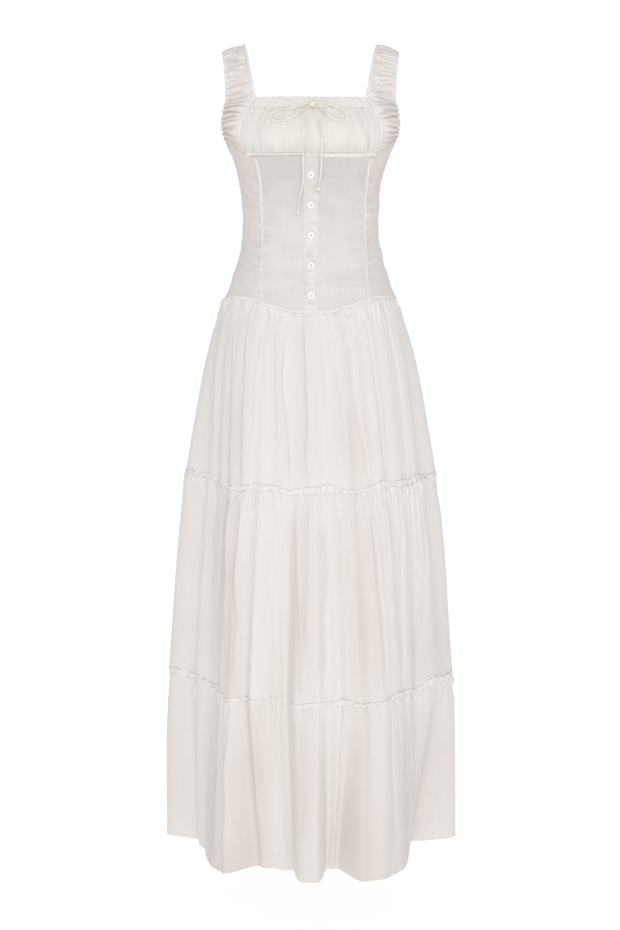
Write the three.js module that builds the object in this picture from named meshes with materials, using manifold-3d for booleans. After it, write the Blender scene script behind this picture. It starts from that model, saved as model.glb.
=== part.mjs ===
// A sleeveless square-necked maxi dress in white cotton, standing open as it does when it is worn.
// Millimetres, +Z up, the front towards -Y and the wearer's left towards +X.
// The origin is midway between the two places where the shoulder straps are held up.
import * as THREE from "three";
import Module from "manifold-3d";
import { mergeVertices } from "three/addons/utils/BufferGeometryUtils.js";

const wasm = await Module();
wasm.setup();

// Driving sizes.
const CLOTH = 1.6; // one layer with its crepe
const SEAM_GAP = 0.3;
const NECK_Z = -84;
const BUST_HEM_Z = -175;
const UNDERBUST_Z = -181;
const UNDERARM_Z = -157;
const BACK_NECK_Z = -132;
const WAIST_SIDE_Z = -420;
const WAIST_POINT = 22; // how far the drop waist dips at the centre front
const WAIST_TURN = [10, 60]; // degrees from the centre between which the dip rises to the sides
const TIER_SEAM_1_Z = -735;
const TIER_SEAM_2_Z = -1099;
const HEM_Z = -1404;
const FRONT_DIP = 9; // the tier seams and the hem hang this much lower at the centre front
const DEG = Math.PI / 180;

// The hollow form of the dress, level by level: half its width, and its depth in front and behind.
// round is the section's exponent: 2 is an ellipse, and more is squarer.
const FORM = [
  { z: -50, half: 143, front: 88, back: 88, round: 2.6 },
  { z: -84, half: 149, front: 98, back: 94, round: 2.6 },
  { z: -130, half: 154, front: 108, back: 97, round: 2.6 },
  { z: -157, half: 146, front: 106, back: 95, round: 2.5 },
  { z: -180, half: 136, front: 101, back: 92, round: 2.4 },
  { z: -227, half: 122, front: 92, back: 86, round: 2.3 },
  { z: -285, half: 117.5, front: 87, back: 84, round: 2.2 },
  { z: -323, half: 119, front: 89, back: 88, round: 2.2 },
  { z: -371, half: 130, front: 98, back: 100, round: 2.2 },
  { z: -420, half: 147.5, front: 110, back: 114, round: 2.15 },
  { z: -448, half: 159, front: 117, back: 121, round: 2.1 },
  { z: -494, half: 175, front: 129, back: 133, round: 2.05 },
  { z: -543, half: 187.5, front: 139, back: 142, round: 2 },
  { z: -617, half: 202, front: 151, back: 153, round: 2 },
  { z: -735, half: 222, front: 168, back: 169, round: 2 },
  { z: -869, half: 238, front: 180, back: 181, round: 2 },
  { z: -1023, half: 250, front: 189, back: 189, round: 2 },
  { z: -1102, half: 256, front: 193, back: 192, round: 2 },
  { z: -1231, half: 261.5, front: 199, back: 196, round: 2 },
  { z: -1420, half: 263.5, front: 204, back: 200, round: 2 },
];

// The value of a named column at a level, on a smooth curve through the rows.
function column(table, key, at, name) {
  const up = table[0][key] < table[table.length - 1][key] ? 1 : -1;
  let i = 0;
  while (i < table.length - 2 && up * table[i + 1][key] < up * at) i++;
  const [p, q] = [table[i], table[i + 1]];
  const slope = (k) => {
    const a = table[Math.max(k - 1, 0)];
    const b = table[Math.min(k + 1, table.length - 1)];
    return (b[name] - a[name]) / (b[key] - a[key]);
  };
  const span = q[key] - p[key];
  const t = THREE.MathUtils.clamp((at - p[key]) / span, 0, 1);
  return (
    p[name] * (1 + 2 * t) * (1 - t) ** 2 +
    q[name] * t * t * (3 - 2 * t) +
    slope(i) * span * t * (1 - t) ** 2 +
    slope(i + 1) * span * t * t * (t - 1)
  );
}

// The form's distance from the middle axis. Angle 0 is the centre front, and 90 the wearer's left side.
function formRadius(angle, z) {
  const [s, c] = [Math.sin(angle * DEG), Math.cos(angle * DEG)];
  const depth = column(FORM, "z", z, c > 0 ? "front" : "back");
  const n = column(FORM, "z", z, "round");
  const wide = Math.abs(s) / column(FORM, "z", z, "half");
  return (wide ** n + (Math.abs(c) / depth) ** n) ** (-1 / n);
}

function polar(angle, radius, z) {
  return new THREE.Vector3(radius * Math.sin(angle * DEG), -radius * Math.cos(angle * DEG), z);
}

function onForm(angle, z, out = 0) {
  return polar(angle, formRadius(angle, z) + out, z);
}

// The angle at which the form's front or back has the given x.
function angleAt(x, z, side = "front") {
  const n = column(FORM, "z", z, "round");
  const share = Math.min(Math.abs(x) / column(FORM, "z", z, "half"), 0.9999);
  const y = column(FORM, "z", z, side) * (1 - share ** n) ** (1 / n);
  return Math.atan2(x, side === "front" ? y : -y) / DEG;
}

// A wall of cloth from a grid of outer points. Its inner points lie one thickness further in.
// around says that the grid's columns close into a ring, and level that the wall's thickness is horizontal.
function wall(outer, { thick = CLOTH, around = false, level = true } = {}) {
  const [rows, cols] = [outer.length, outer[0].length];
  const at = (r, c) =>
    outer[THREE.MathUtils.clamp(r, 0, rows - 1)][
      around ? (c + cols) % cols : THREE.MathUtils.clamp(c, 0, cols - 1)
    ];
  const inner = outer.map((row, r) =>
    row.map((p, c) => {
      const across = at(r, c + 1).clone().sub(at(r, c - 1));
      const down = at(r + 1, c).clone().sub(at(r - 1, c));
      const normal = level ? new THREE.Vector3(across.y, -across.x, 0) : across.cross(down).negate();
      return p.clone().addScaledVector(normal.normalize(), -thick);
    }),
  );
  const position = [...outer.flat(), ...inner.flat()].flatMap((p) => [p.x, p.y, p.z]);
  const index = [];
  const quad = (a, b, c, d) => index.push(a, b, c, a, c, d);
  const id = (r, c) => r * cols + (c % cols);
  const back = rows * cols;
  const steps = around ? cols : cols - 1;
  for (let c = 0; c < steps; c++) {
    for (let r = 0; r < rows - 1; r++) {
      quad(id(r, c), id(r + 1, c), id(r + 1, c + 1), id(r, c + 1));
      quad(back + id(r, c), back + id(r, c + 1), back + id(r + 1, c + 1), back + id(r + 1, c));
    }
    quad(id(0, c), id(0, c + 1), back + id(0, c + 1), back + id(0, c));
    const last = rows - 1;
    quad(id(last, c + 1), id(last, c), back + id(last, c), back + id(last, c + 1));
  }
  if (!around)
    for (let r = 0; r < rows - 1; r++) {
      const end = cols - 1;
      quad(id(r, 0), back + id(r, 0), back + id(r + 1, 0), id(r + 1, 0));
      quad(id(r, end), id(r + 1, end), back + id(r + 1, end), back + id(r, end));
    }
  const geometry = new THREE.BufferGeometry();
  geometry.setAttribute("position", new THREE.Float32BufferAttribute(position, 3));
  geometry.setIndex(index);
  geometry.computeVertexNormals();
  return geometry;
}

const range = (count) => [...Array(count).keys()];
const spread = (from, to, count) => range(count).map((i) => THREE.MathUtils.lerp(from, to, i / (count - 1)));

const COTTON = new THREE.MeshStandardMaterial({ color: 0xe9e5e0, roughness: 0.9, metalness: 0 });
const TRIM = new THREE.MeshStandardMaterial({ color: 0xeeeae6, roughness: 0.9, metalness: 0 });
const SATIN = new THREE.MeshStandardMaterial({ color: 0xf3ede0, roughness: 0.4, metalness: 0 });
const SHELL = new THREE.MeshStandardMaterial({ color: 0xf5f3f2, roughness: 0.25, metalness: 0 });

const dress = new THREE.Group();

function add(name, geometry, material = COTTON) {
  const mesh = new THREE.Mesh(geometry, material);
  mesh.name = name;
  dress.add(mesh);
  return mesh;
}

// The skirt. Each row is the valley of a fold: its angle at the drop waist, the two tier seams and the
// hem, and how far it lies inside the form at the last three. out is the same for the crest after it.
const FOLDS = [
  { waist: -83, seam1: -80, seam2: -82, hem: -83, in1: 30, in2: 38, in3: 60, out1: 34, out2: 42, out3: 52 },
  { waist: -70, seam1: -66, seam2: -68, hem: -70, in1: 36, in2: 50, in3: 52, out1: 24, out2: 50, out3: 36 },
  { waist: -58, seam1: -53, seam2: -56, hem: -55, in1: 20, in2: 46, in3: 20, out1: 10, out2: 20, out3: 8 },
  { waist: -47, seam1: -43, seam2: -46, hem: -44, in1: 9, in2: 10, in3: 1, out1: 4, out2: 2, out3: -2 },
  { waist: -37, seam1: -33, seam2: -35, hem: -35, in1: 5, in2: 12, in3: 48, out1: -1, out2: -5, out3: 46 },
  { waist: -26, seam1: -22, seam2: -23, hem: -23, in1: 1, in2: 10, in3: 50, out1: -2, out2: 24, out3: 47 },
  { waist: -15, seam1: -11, seam2: -14, hem: -11, in1: -1, in2: 30, in3: 50, out1: -4, out2: -8, out3: 4 },
  { waist: -4, seam1: -2, seam2: -1, hem: -1, in1: -2, in2: -4, in3: -6, out1: -5, out2: -6, out3: 0 },
  { waist: 6, seam1: 7, seam2: 9, hem: 10, in1: -1, in2: 4, in3: 52, out1: -3, out2: -8, out3: 50 },
  { waist: 16, seam1: 17, seam2: 19, hem: 18, in1: -2, in2: -2, in3: 50, out1: -4, out2: -10, out3: -10 },
  { waist: 27, seam1: 26, seam2: 29, hem: 27, in1: 0, in2: -8, in3: -16, out1: -3, out2: -13, out3: -20 },
  { waist: 37, seam1: 36, seam2: 40, hem: 38, in1: 0, in2: -4, in3: -12, out1: -1, out2: 2, out3: -2 },
  { waist: 48, seam1: 46, seam2: 50, hem: 51, in1: 6, in2: 12, in3: 16, out1: 6, out2: 18, out3: 34 },
  { waist: 60, seam1: 60, seam2: 62, hem: 63, in1: 12, in2: 28, in3: 50, out1: 10, out2: 16, out3: 66 },
  { waist: 75, seam1: 75, seam2: 78, hem: 79, in1: 14, in2: 12, in3: 76, out1: 0, out2: 0, out3: 0 },
];
const BACK_SHARE = 0.5; // how deep the folds behind are, against those in front
const WAIST_VALLEY = 1;
const FOLD_STEPS = 4; // columns from one valley to the next

const HIDDEN_FOLDS = FOLDS.map((f) => {
  const hidden = { ...f };
  for (const level of ["waist", "seam1", "seam2", "hem"]) hidden[level] += 180;
  for (const depth of ["in1", "in2", "in3"]) hidden[depth] = Math.max(8, f[depth]) * BACK_SHARE;
  for (const depth of ["out1", "out2", "out3"]) hidden[depth] = Math.max(0, f[depth]) * BACK_SHARE;
  return hidden;
});
const ALL_FOLDS = [...FOLDS, ...HIDDEN_FOLDS];

// How much a level seam drops towards the centre front, from 0 at the sides to 1.
function frontShare(angle) {
  return Math.max(0, Math.cos(angle * DEG)) ** 2;
}

function waistZ(angle) {
  const away = Math.abs(((angle + 540) % 360) - 180);
  return WAIST_SIDE_Z - WAIST_POINT * (1 - THREE.MathUtils.smoothstep(away, ...WAIST_TURN));
}

const seamZ = (z) => (angle) => z - FRONT_DIP * frontShare(angle);
const LEVELS = [waistZ, seamZ(TIER_SEAM_1_Z), seamZ(TIER_SEAM_2_Z), seamZ(HEM_Z)];

function between(values, at) {
  const i = Math.min(Math.floor(at), values.length - 2);
  return THREE.MathUtils.lerp(values[i], values[i + 1], at - i);
}

// A point of the skirt: at says how far down it is (0 the waist, 1 and 2 the tier seams, 3 the hem).
function skirtPoint(fold, step, at, drop = 0) {
  const next = (fold + 1) % ALL_FOLDS.length;
  const angles = (f) => between([f.waist, f.seam1, f.seam2, f.hem], at);
  const valley = (f) => between([WAIST_VALLEY, f.in1, f.in2, f.in3], at);
  const [a, b] = [ALL_FOLDS[fold], ALL_FOLDS[next]];
  const t = step / FOLD_STEPS;
  const angle = THREE.MathUtils.lerp(angles(a), angles(b) + (next ? 0 : 360), t);
  const z = between(LEVELS.map((level) => level(angle)), at) + drop;
  const crest = between([0, a.out1, a.out2, a.out3], at);
  const rise = (1 - Math.cos(2 * Math.PI * t)) / 2;
  const depth = THREE.MathUtils.lerp(THREE.MathUtils.lerp(valley(a), valley(b), t), crest, rise);
  return polar(angle, formRadius(angle, z) - depth, z);
}

function skirtRing(at, drop) {
  return ALL_FOLDS.flatMap((_, fold) => range(FOLD_STEPS).map((step) => skirtPoint(fold, step, at, drop)));
}

const TIER_ROWS = [
  { name: "skirt_tier_1", at: [0, 0.15, 0.55, 1] },
  { name: "skirt_tier_2", at: [1, 1.3, 1.65, 2] },
  { name: "skirt_tier_3", at: [2, 2.3, 2.65, 3] },
];

for (const tier of TIER_ROWS) {
  const last = tier.at.length - 1;
  const drop = (i) => (i === 0 ? -SEAM_GAP / 2 : i === last ? SEAM_GAP / 2 : 0);
  add(tier.name, wall(tier.at.map((at, i) => skirtRing(at, drop(i))), { around: true }));
}

// The gathered heading that stands out from each tier seam as a small frill.
const FRILL_HEIGHT = 8;
const FRILL_FLARE = 5;
const FRILL_THICK = 1;
const FRILL_STEPS = 3; // columns in one wave

function frill(at) {
  const foot = skirtRing(at, 0);
  const out = (i, distance, rise) => {
    const across = foot[(i + 1) % foot.length].clone().sub(foot[(i + foot.length - 1) % foot.length]);
    const normal = new THREE.Vector3(across.y, -across.x, 0).normalize();
    return foot[i].clone().addScaledVector(normal, distance).setZ(foot[i].z + rise);
  };
  const clear = FRILL_THICK + SEAM_GAP + 0.6;
  const bottom = foot.map((_, i) => out(i, clear, 1));
  const top = foot.map((_, i) => {
    const wave = 0.5 + 0.5 * Math.sin((2 * Math.PI * i) / FRILL_STEPS + Math.sin(i / 7));
    return out(i, clear + 1.2 + FRILL_FLARE * wave, FRILL_HEIGHT - 2 * wave);
  });
  return wall([top, bottom], { thick: FRILL_THICK, around: true });
}

add("tier_frill_1", frill(1), TRIM);
add("tier_frill_2", frill(2), TRIM);

// The seams of the bodice. The two sides of the front differ a little, as they were sewn.
const PRINCESS_SEAM = [
  { z: -178, right: -106, left: 108 },
  { z: -190, right: -92, left: 101 },
  { z: -254, right: -84, left: 94 },
  { z: -340, right: -83, left: 95 },
  { z: -450, right: -85, left: 101 },
];
const SIDE_SEAM = 92; // degrees from the centre front
const PLACKET = { x: 0.8, width: 25.5, proud: 0.9 };

// The seam between the bust panel and the strap band beside it.
const BUST_SEAM = [
  { z: -84, x: 93 },
  { z: -101, x: 103.5 },
  { z: -117, x: 112 },
  { z: -134, x: 117 },
  { z: -154, x: 117 },
  { z: -178, x: 111 },
];
// Levels shared by pieces that are sewn side by side, so that their edges run together.
const BAND_LEVELS = [-175, -165, -154, -144, -134, -125, -117, -109, -101, -92.5, -84];
const BODICE_LEVELS = [-186, -203, -223, -245, -267, -289, -312, -340, -370, -400];

const princessAngle = (side, z) => angleAt(column(PRINCESS_SEAM, "z", z, side), z);
const seamAngle = (sign, z) => sign * angleAt(column(BUST_SEAM, "z", z, "x"), z);
const gapAngle = (z) => SEAM_GAP / 2 / formRadius(0, z) / DEG;

// A panel of the bodice between two edges, each an angle for a level. rows are levels from the top down,
// and a level that changes along the row is a function of the angle.
function panel(name, [leftEdge, rightEdge], rows, cols, material = COTTON) {
  const grid = rows.map((row) =>
    spread(0, 1, cols).map((u) => {
      let [angle, z] = [0, typeof row === "function" ? BODICE_LEVELS[0] : row];
      for (let pass = 0; pass < 5; pass++) {
        angle = THREE.MathUtils.lerp(leftEdge(z) + gapAngle(z), rightEdge(z) - gapAngle(z), u);
        if (typeof row === "function") z = row(angle);
      }
      return onForm(angle, z);
    }),
  );
  return add(name, wall(grid), material);
}

const placketAngle = (sign) => (z) => angleAt(PLACKET.x + (sign * PLACKET.width) / 2, z);
const bodiceBottom = (angle) => waistZ(angle) + 0.3;
const FRONT_ROWS = [UNDERBUST_Z - SEAM_GAP / 2, ...BODICE_LEVELS, bodiceBottom];

panel("front_right", [(z) => princessAngle("right", z), placketAngle(-1)], FRONT_ROWS, 8);
panel("front_left", [placketAngle(1), (z) => princessAngle("left", z)], FRONT_ROWS, 8);

// The side panels run up to the strap band, whose lower end slants from the bust panel's corner to the
// underarm.
const UNDERARM_ANGLE = 82; // where the strap band ends and the armhole begins
function sideTop(angle) {
  const front = seamAngle(1, BAND_LEVELS[0]);
  const t = THREE.MathUtils.clamp((Math.abs(angle) - front) / (UNDERARM_ANGLE - front), 0, 1);
  return THREE.MathUtils.lerp(BAND_LEVELS[0], UNDERARM_Z, t) - SEAM_GAP;
}
const frontEdge = (side, sign) => (z) => (z > -179 ? seamAngle(sign, z) : princessAngle(side, z));
const belowSideTop = (angle) => (sideTop(angle) + FRONT_ROWS[0]) / 2;
const SIDE_ROWS = [sideTop, belowSideTop, ...FRONT_ROWS];
panel("side_right", [() => -SIDE_SEAM, frontEdge("right", -1)], SIDE_ROWS, 9);
panel("side_left", [frontEdge("left", 1), () => SIDE_SEAM], SIDE_ROWS, 9);

// The back is one plain panel. Its top edge rises from the underarms to the straps.
const BACK_STRAP_OUTER_X = 133;
function backTop(angle) {
  const strap = angleAt(BACK_STRAP_OUTER_X, BACK_NECK_Z, "back");
  const away = angle > 180 ? 360 - angle : angle;
  const t = THREE.MathUtils.clamp((strap - away) / (strap - SIDE_SEAM), 0, 1);
  return THREE.MathUtils.lerp(BACK_NECK_Z, UNDERARM_Z, t * t * (3 - 2 * t)) - SEAM_GAP;
}
const BACK_ROWS = [backTop, -168, ...FRONT_ROWS];
panel("back_panel", [() => SIDE_SEAM, () => 360 - SIDE_SEAM], BACK_ROWS, 17);

// The bust panel is gathered into its casing above and its band below, and fills out between them.
const GATHERS = 9;
const BUST_COLUMNS = GATHERS * 4;
const BUST_PUFF = [
  { z: -84, out: 0.6, wave: 0.6 },
  { z: -104, out: 2, wave: 1.2 },
  { z: -125, out: 8, wave: 1.6 },
  { z: -150, out: 11, wave: 1.8 },
  { z: -168, out: 9, wave: 1.6 },
  { z: -175, out: 4, wave: 1.2 },
];

function bustPoint(u, z, extra = 0) {
  const angle = THREE.MathUtils.lerp(seamAngle(-1, z) + gapAngle(z), seamAngle(1, z) - gapAngle(z), u);
  const edge = Math.min(1, 6 * Math.min(u, 1 - u));
  const wave = Math.sin(u * GATHERS * 2 * Math.PI) * column(BUST_PUFF, "z", z, "wave");
  return onForm(angle, z, edge * (column(BUST_PUFF, "z", z, "out") + wave) + extra);
}

const casingBottom = BAND_LEVELS[8];
const bustLevels = [casingBottom - SEAM_GAP / 2, ...BAND_LEVELS.slice(0, 8).reverse()];
const bustRow = (z, inset = 0, extra = 0) =>
  spread(inset, 1 - inset, BUST_COLUMNS + 1).map((u) => bustPoint(u, z, extra));
add("bust_panel", wall(bustLevels.map((z) => bustRow(z))));

// The casing that the drawstring runs in, along the top of the bust panel.
const casingLevels = [NECK_Z, BAND_LEVELS[9], casingBottom + SEAM_GAP / 2];
add("neck_casing", wall(casingLevels.map((z, i) => bustRow(z, 0.004, i === 1 ? 1.2 : 0))), TRIM);

// The narrow band under the bust panel.
const BAND_OUT = 2;
const bandRow = (z) =>
  spread(seamAngle(-1, BUST_HEM_Z) + 1, seamAngle(1, BUST_HEM_Z) - 1, 21).map((a) => onForm(a, z, BAND_OUT));
add("underbust_band", wall([bandRow(BUST_HEM_Z - SEAM_GAP), bandRow(UNDERBUST_Z + SEAM_GAP / 2)]), TRIM);

// The button placket lies down the centre front, and its top end laps over the band.
const placketRows = [
  { z: BUST_HEM_Z - 0.6, out: 4.4 },
  { z: -178, out: 4.1 },
  { z: UNDERBUST_Z, out: 4 },
  ...[...BODICE_LEVELS, -420, WAIST_SIDE_Z - WAIST_POINT + 0.5].map((z) => ({ z, out: PLACKET.proud })),
];
const placketGrid = placketRows.map(({ z, out }) =>
  spread(placketAngle(-1)(z) + gapAngle(z), placketAngle(1)(z) - gapAngle(z), 4).map((a) =>
    onForm(a, z, out),
  ),
);
add("placket", wall(placketGrid, { thick: CLOTH }), TRIM);

// A raised seam lies over each princess seam, and one runs round the drop waist.
function seamStrip(side) {
  const half = 2.2;
  return [...BODICE_LEVELS, -415.5].map((z) => {
    const middle = princessAngle(side, z);
    const turn = half / formRadius(middle, z) / DEG;
    return [middle - turn, middle + turn].map((a) => onForm(a, z, 1.2 + SEAM_GAP));
  });
}
add("princess_seam_right", wall(seamStrip("right"), { thick: 1.2 }), TRIM);
add("princess_seam_left", wall(seamStrip("left"), { thick: 1.2 }), TRIM);

const waistLevels = [6, 1];
const waistRow = (up) => range(60).map((i) => onForm(i * 6, waistZ(i * 6) + up, 1.2 + SEAM_GAP + 1.2));
add("waist_seam", wall(waistLevels.map(waistRow), { thick: 1.2, around: true }), TRIM);

// The strap bands, from the front of the underarm over the shoulder to the back. x is measured
// outwards from the middle. Without a y, the edge lies on the form.
const STRAP = [
  { at: 0, innerX: 112, innerZ: -175, outerX: 145, outerZ: -157, outerY: -20, crown: 5 },
  { at: 1, innerX: 117, innerZ: -134, outerX: 151, outerZ: -134, outerY: -34, crown: 8 },
  { at: 2, innerX: 112, innerZ: -117, outerX: 150.5, outerZ: -118, outerY: -41, crown: 6 },
  { at: 3, innerX: 103.5, innerZ: -101, outerX: 148.5, outerZ: -103, outerY: -46, crown: 5 },
  { at: 4, innerX: 93, innerZ: -84, outerX: 144, outerZ: -86, outerY: -50, crown: 3 },
  { at: 5, innerX: 98, innerZ: -58, innerY: -79, outerX: 144.5, outerZ: -62, outerY: -50, crown: 2 },
  { at: 6, innerX: 102, innerZ: -34, innerY: -62, outerX: 146, outerZ: -42, outerY: -44, crown: 2 },
  { at: 7, innerX: 107, innerZ: -8, innerY: -38, outerX: 149, outerZ: -17, outerY: -30, crown: 2 },
  { at: 8, innerX: 112, innerZ: 7, innerY: -16, outerX: 151.5, outerZ: -6, outerY: -12, crown: 2 },
  { at: 9, innerX: 113, innerZ: 8, innerY: 8, outerX: 152, outerZ: -5, outerY: 8, crown: 2 },
  { at: 10, innerX: 109, innerZ: -7, innerY: 34, outerX: 149, outerZ: -18, outerY: 28, crown: 2 },
  { at: 11, innerX: 104, innerZ: -36, innerY: 59, outerX: 146, outerZ: -46, outerY: 44, crown: 2 },
  { at: 12, innerX: 99, innerZ: -70, innerY: 77, outerX: 142, outerZ: -76, outerY: 53, crown: 2 },
  { at: 13, innerX: 94, innerZ: -102, innerY: 86, outerX: 137, outerZ: -106, outerY: 58, crown: 2.5 },
  { at: 14, innerX: 90, innerZ: -131.5, innerY: 87, outerX: 133, outerZ: -131.5, outerY: 62, crown: 3 },
];
const STRAP_ROWS = 37;
const STRAP_COLUMNS = 5;
const RUCHES = 10;
const RUCHE_HEIGHT = 2.2;

for (const row of STRAP) {
  const share = row.innerX / column(FORM, "z", row.innerZ, "half");
  const n = column(FORM, "z", row.innerZ, "round");
  row.innerY ??= -column(FORM, "z", row.innerZ, "front") * (1 - share ** n) ** (1 / n);
}

// The levels of the band's inner edge are those of the bust panel's edge as far as the neckline.
const bandSteps = BAND_LEVELS.map((z) => {
  let at = 0;
  while (at < 4 && column(STRAP, "at", at, "innerZ") < z) at += 0.001;
  return at;
});
const strapSteps = [...bandSteps, ...spread(4, 14, STRAP_ROWS - bandSteps.length + 1).slice(1)];

function strapGrid(sign) {
  const edge = (at, name) =>
    new THREE.Vector3(
      sign * column(STRAP, "at", at, name + "X"),
      column(STRAP, "at", at, name + "Y"),
      column(STRAP, "at", at, name + "Z"),
    );
  return strapSteps.map((at, row) => {
    let inner = edge(at, "inner");
    const outer = edge(at, "outer");
    if (row < BAND_LEVELS.length) {
      const z = BAND_LEVELS[row];
      inner = onForm(seamAngle(sign, z) + sign * gapAngle(z), z);
    }
    const along = edge(at + 0.05, "inner").sub(edge(at - 0.05, "inner"));
    const face = outer.clone().sub(inner).cross(along).multiplyScalar(-sign).normalize();
    const ruche = RUCHE_HEIGHT * Math.sin((2 * Math.PI * RUCHES * row) / (strapSteps.length - 1));
    const free = THREE.MathUtils.smoothstep(at, 0, 1);
    const foot = seamAngle(sign, inner.z) + sign * gapAngle(inner.z);
    return spread(0, 1, STRAP_COLUMNS).map((v) => {
      const bulge = 4 * v * (1 - v) * column(STRAP, "at", at, "crown") + Math.min(1, 3 * v) * ruche;
      const point = inner.clone().lerp(outer, v).addScaledVector(face, -bulge);
      const level = THREE.MathUtils.lerp(inner.z, outer.z, v);
      const sewn = onForm(THREE.MathUtils.lerp(foot, sign * UNDERARM_ANGLE, v), level);
      return sewn.lerp(point, free);
    });
  });
}

const facingOut = (grid, sign) => (sign < 0 ? grid.map((row) => [...row].reverse()) : grid).reverse();
add("strap_right", wall(facingOut(strapGrid(-1), -1), { level: false }));
add("strap_left", wall(facingOut(strapGrid(1), 1), { level: false }));

// Four-hole shell buttons, sewn down the placket.
const BUTTONS = { count: 5, topZ: -212, pitch: 50.6 };
const BUTTON = { radius: 6.4, height: 2.2, rim: 1.1, hole: 0.8, spacing: 1.5 };

function solid(geometry) {
  for (const name of ["normal", "uv"]) geometry.deleteAttribute(name);
  const merged = mergeVertices(geometry);
  return new wasm.Manifold(
    new wasm.Mesh({
      numProp: 3,
      vertProperties: new Float32Array(merged.attributes.position.array),
      triVerts: new Uint32Array(merged.index.array),
    }),
  );
}

function geometryOf(manifold) {
  const mesh = manifold.getMesh();
  const geometry = new THREE.BufferGeometry();
  geometry.setAttribute("position", new THREE.BufferAttribute(mesh.vertProperties, 3));
  geometry.setIndex(new THREE.BufferAttribute(mesh.triVerts, 1));
  geometry.computeVertexNormals();
  return geometry;
}

function buttonGeometry() {
  const { radius, height, rim, hole, spacing } = BUTTON;
  const profile = [
    new THREE.Vector2(0, 0),
    new THREE.Vector2(radius - 0.8, 0),
    new THREE.Vector2(radius, height * 0.5),
    new THREE.Vector2(radius - 0.5, height),
    new THREE.Vector2(radius - rim - 0.6, height),
    new THREE.Vector2(radius - rim - 1.4, height * 0.65),
    new THREE.Vector2(0, height * 0.6),
  ];
  let disc = solid(new THREE.LatheGeometry(profile, 14));
  for (const [x, z] of [[1, 1], [-1, 1], [1, -1], [-1, -1]]) {
    const drill = new THREE.CylinderGeometry(hole, hole, height * 3, 5);
    drill.translate(x * spacing, 0, z * spacing);
    disc = disc.subtract(solid(drill));
  }
  return geometryOf(disc);
}

for (let i = 0; i < BUTTONS.count; i++) {
  const z = BUTTONS.topZ - i * BUTTONS.pitch;
  const angle = angleAt(PLACKET.x, z);
  const foot = onForm(angle, z, PLACKET.proud);
  const [up, down] = [onForm(angle, z + 2), onForm(angle, z - 2)];
  const tilt = up.sub(down);
  const facing = new THREE.Vector3(0, -1, 0).addScaledVector(tilt.normalize(), tilt.y).normalize();
  const button = add(`button_${i + 1}`, buttonGeometry(), SHELL);
  button.quaternion.setFromUnitVectors(new THREE.Vector3(0, 1, 0), facing);
  button.position.copy(foot).addScaledVector(facing, SEAM_GAP + 0.4);
}

// The drawstring is a flat satin ribbon. It leaves the casing at the centre front and is tied in a bow.
const RIBBON = { width: 4, thick: 0.9 };
const KNOT = { x: 3, z: -96, rx: 5, ry: 3.2, rz: 5 };

// How far the bust panel, or the bodice below it, stands in front of the middle axis.
function frontY(x, z) {
  const under = THREE.MathUtils.clamp((BUST_HEM_Z - z) / 60, 0, 1);
  const level = Math.max(z, BUST_HEM_Z);
  const out = 3 + THREE.MathUtils.lerp(column(BUST_PUFF, "z", Math.max(level, -160), "out"), 8, under);
  return onForm(angleAt(x, z), z, out).y;
}

class RibbonPath extends THREE.CatmullRomCurve3 {
  // The ribbon lies flat, with one face turned away from the wearer.
  computeFrenetFrames(segments) {
    const frames = { tangents: [], normals: [], binormals: [] };
    for (let i = 0; i <= segments; i++) {
      const tangent = this.getTangentAt(i / segments);
      const point = this.getPointAt(i / segments);
      const out = new THREE.Vector3(point.x * 0.6, point.y, 0).normalize();
      const normal = new THREE.Vector3().crossVectors(out, tangent).normalize();
      frames.tangents.push(tangent);
      frames.normals.push(normal);
      frames.binormals.push(new THREE.Vector3().crossVectors(tangent, normal));
    }
    return frames;
  }
}

function ribbonSection() {
  const [w, t] = [RIBBON.width / 2, RIBBON.thick / 2];
  return new THREE.Shape([
    new THREE.Vector2(-w, -t / 2),
    new THREE.Vector2(-w * 0.8, -t),
    new THREE.Vector2(w * 0.8, -t),
    new THREE.Vector2(w, -t / 2),
    new THREE.Vector2(w, t / 2),
    new THREE.Vector2(w * 0.8, t),
    new THREE.Vector2(-w * 0.8, t),
    new THREE.Vector2(-w, t / 2),
  ]);
}

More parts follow.
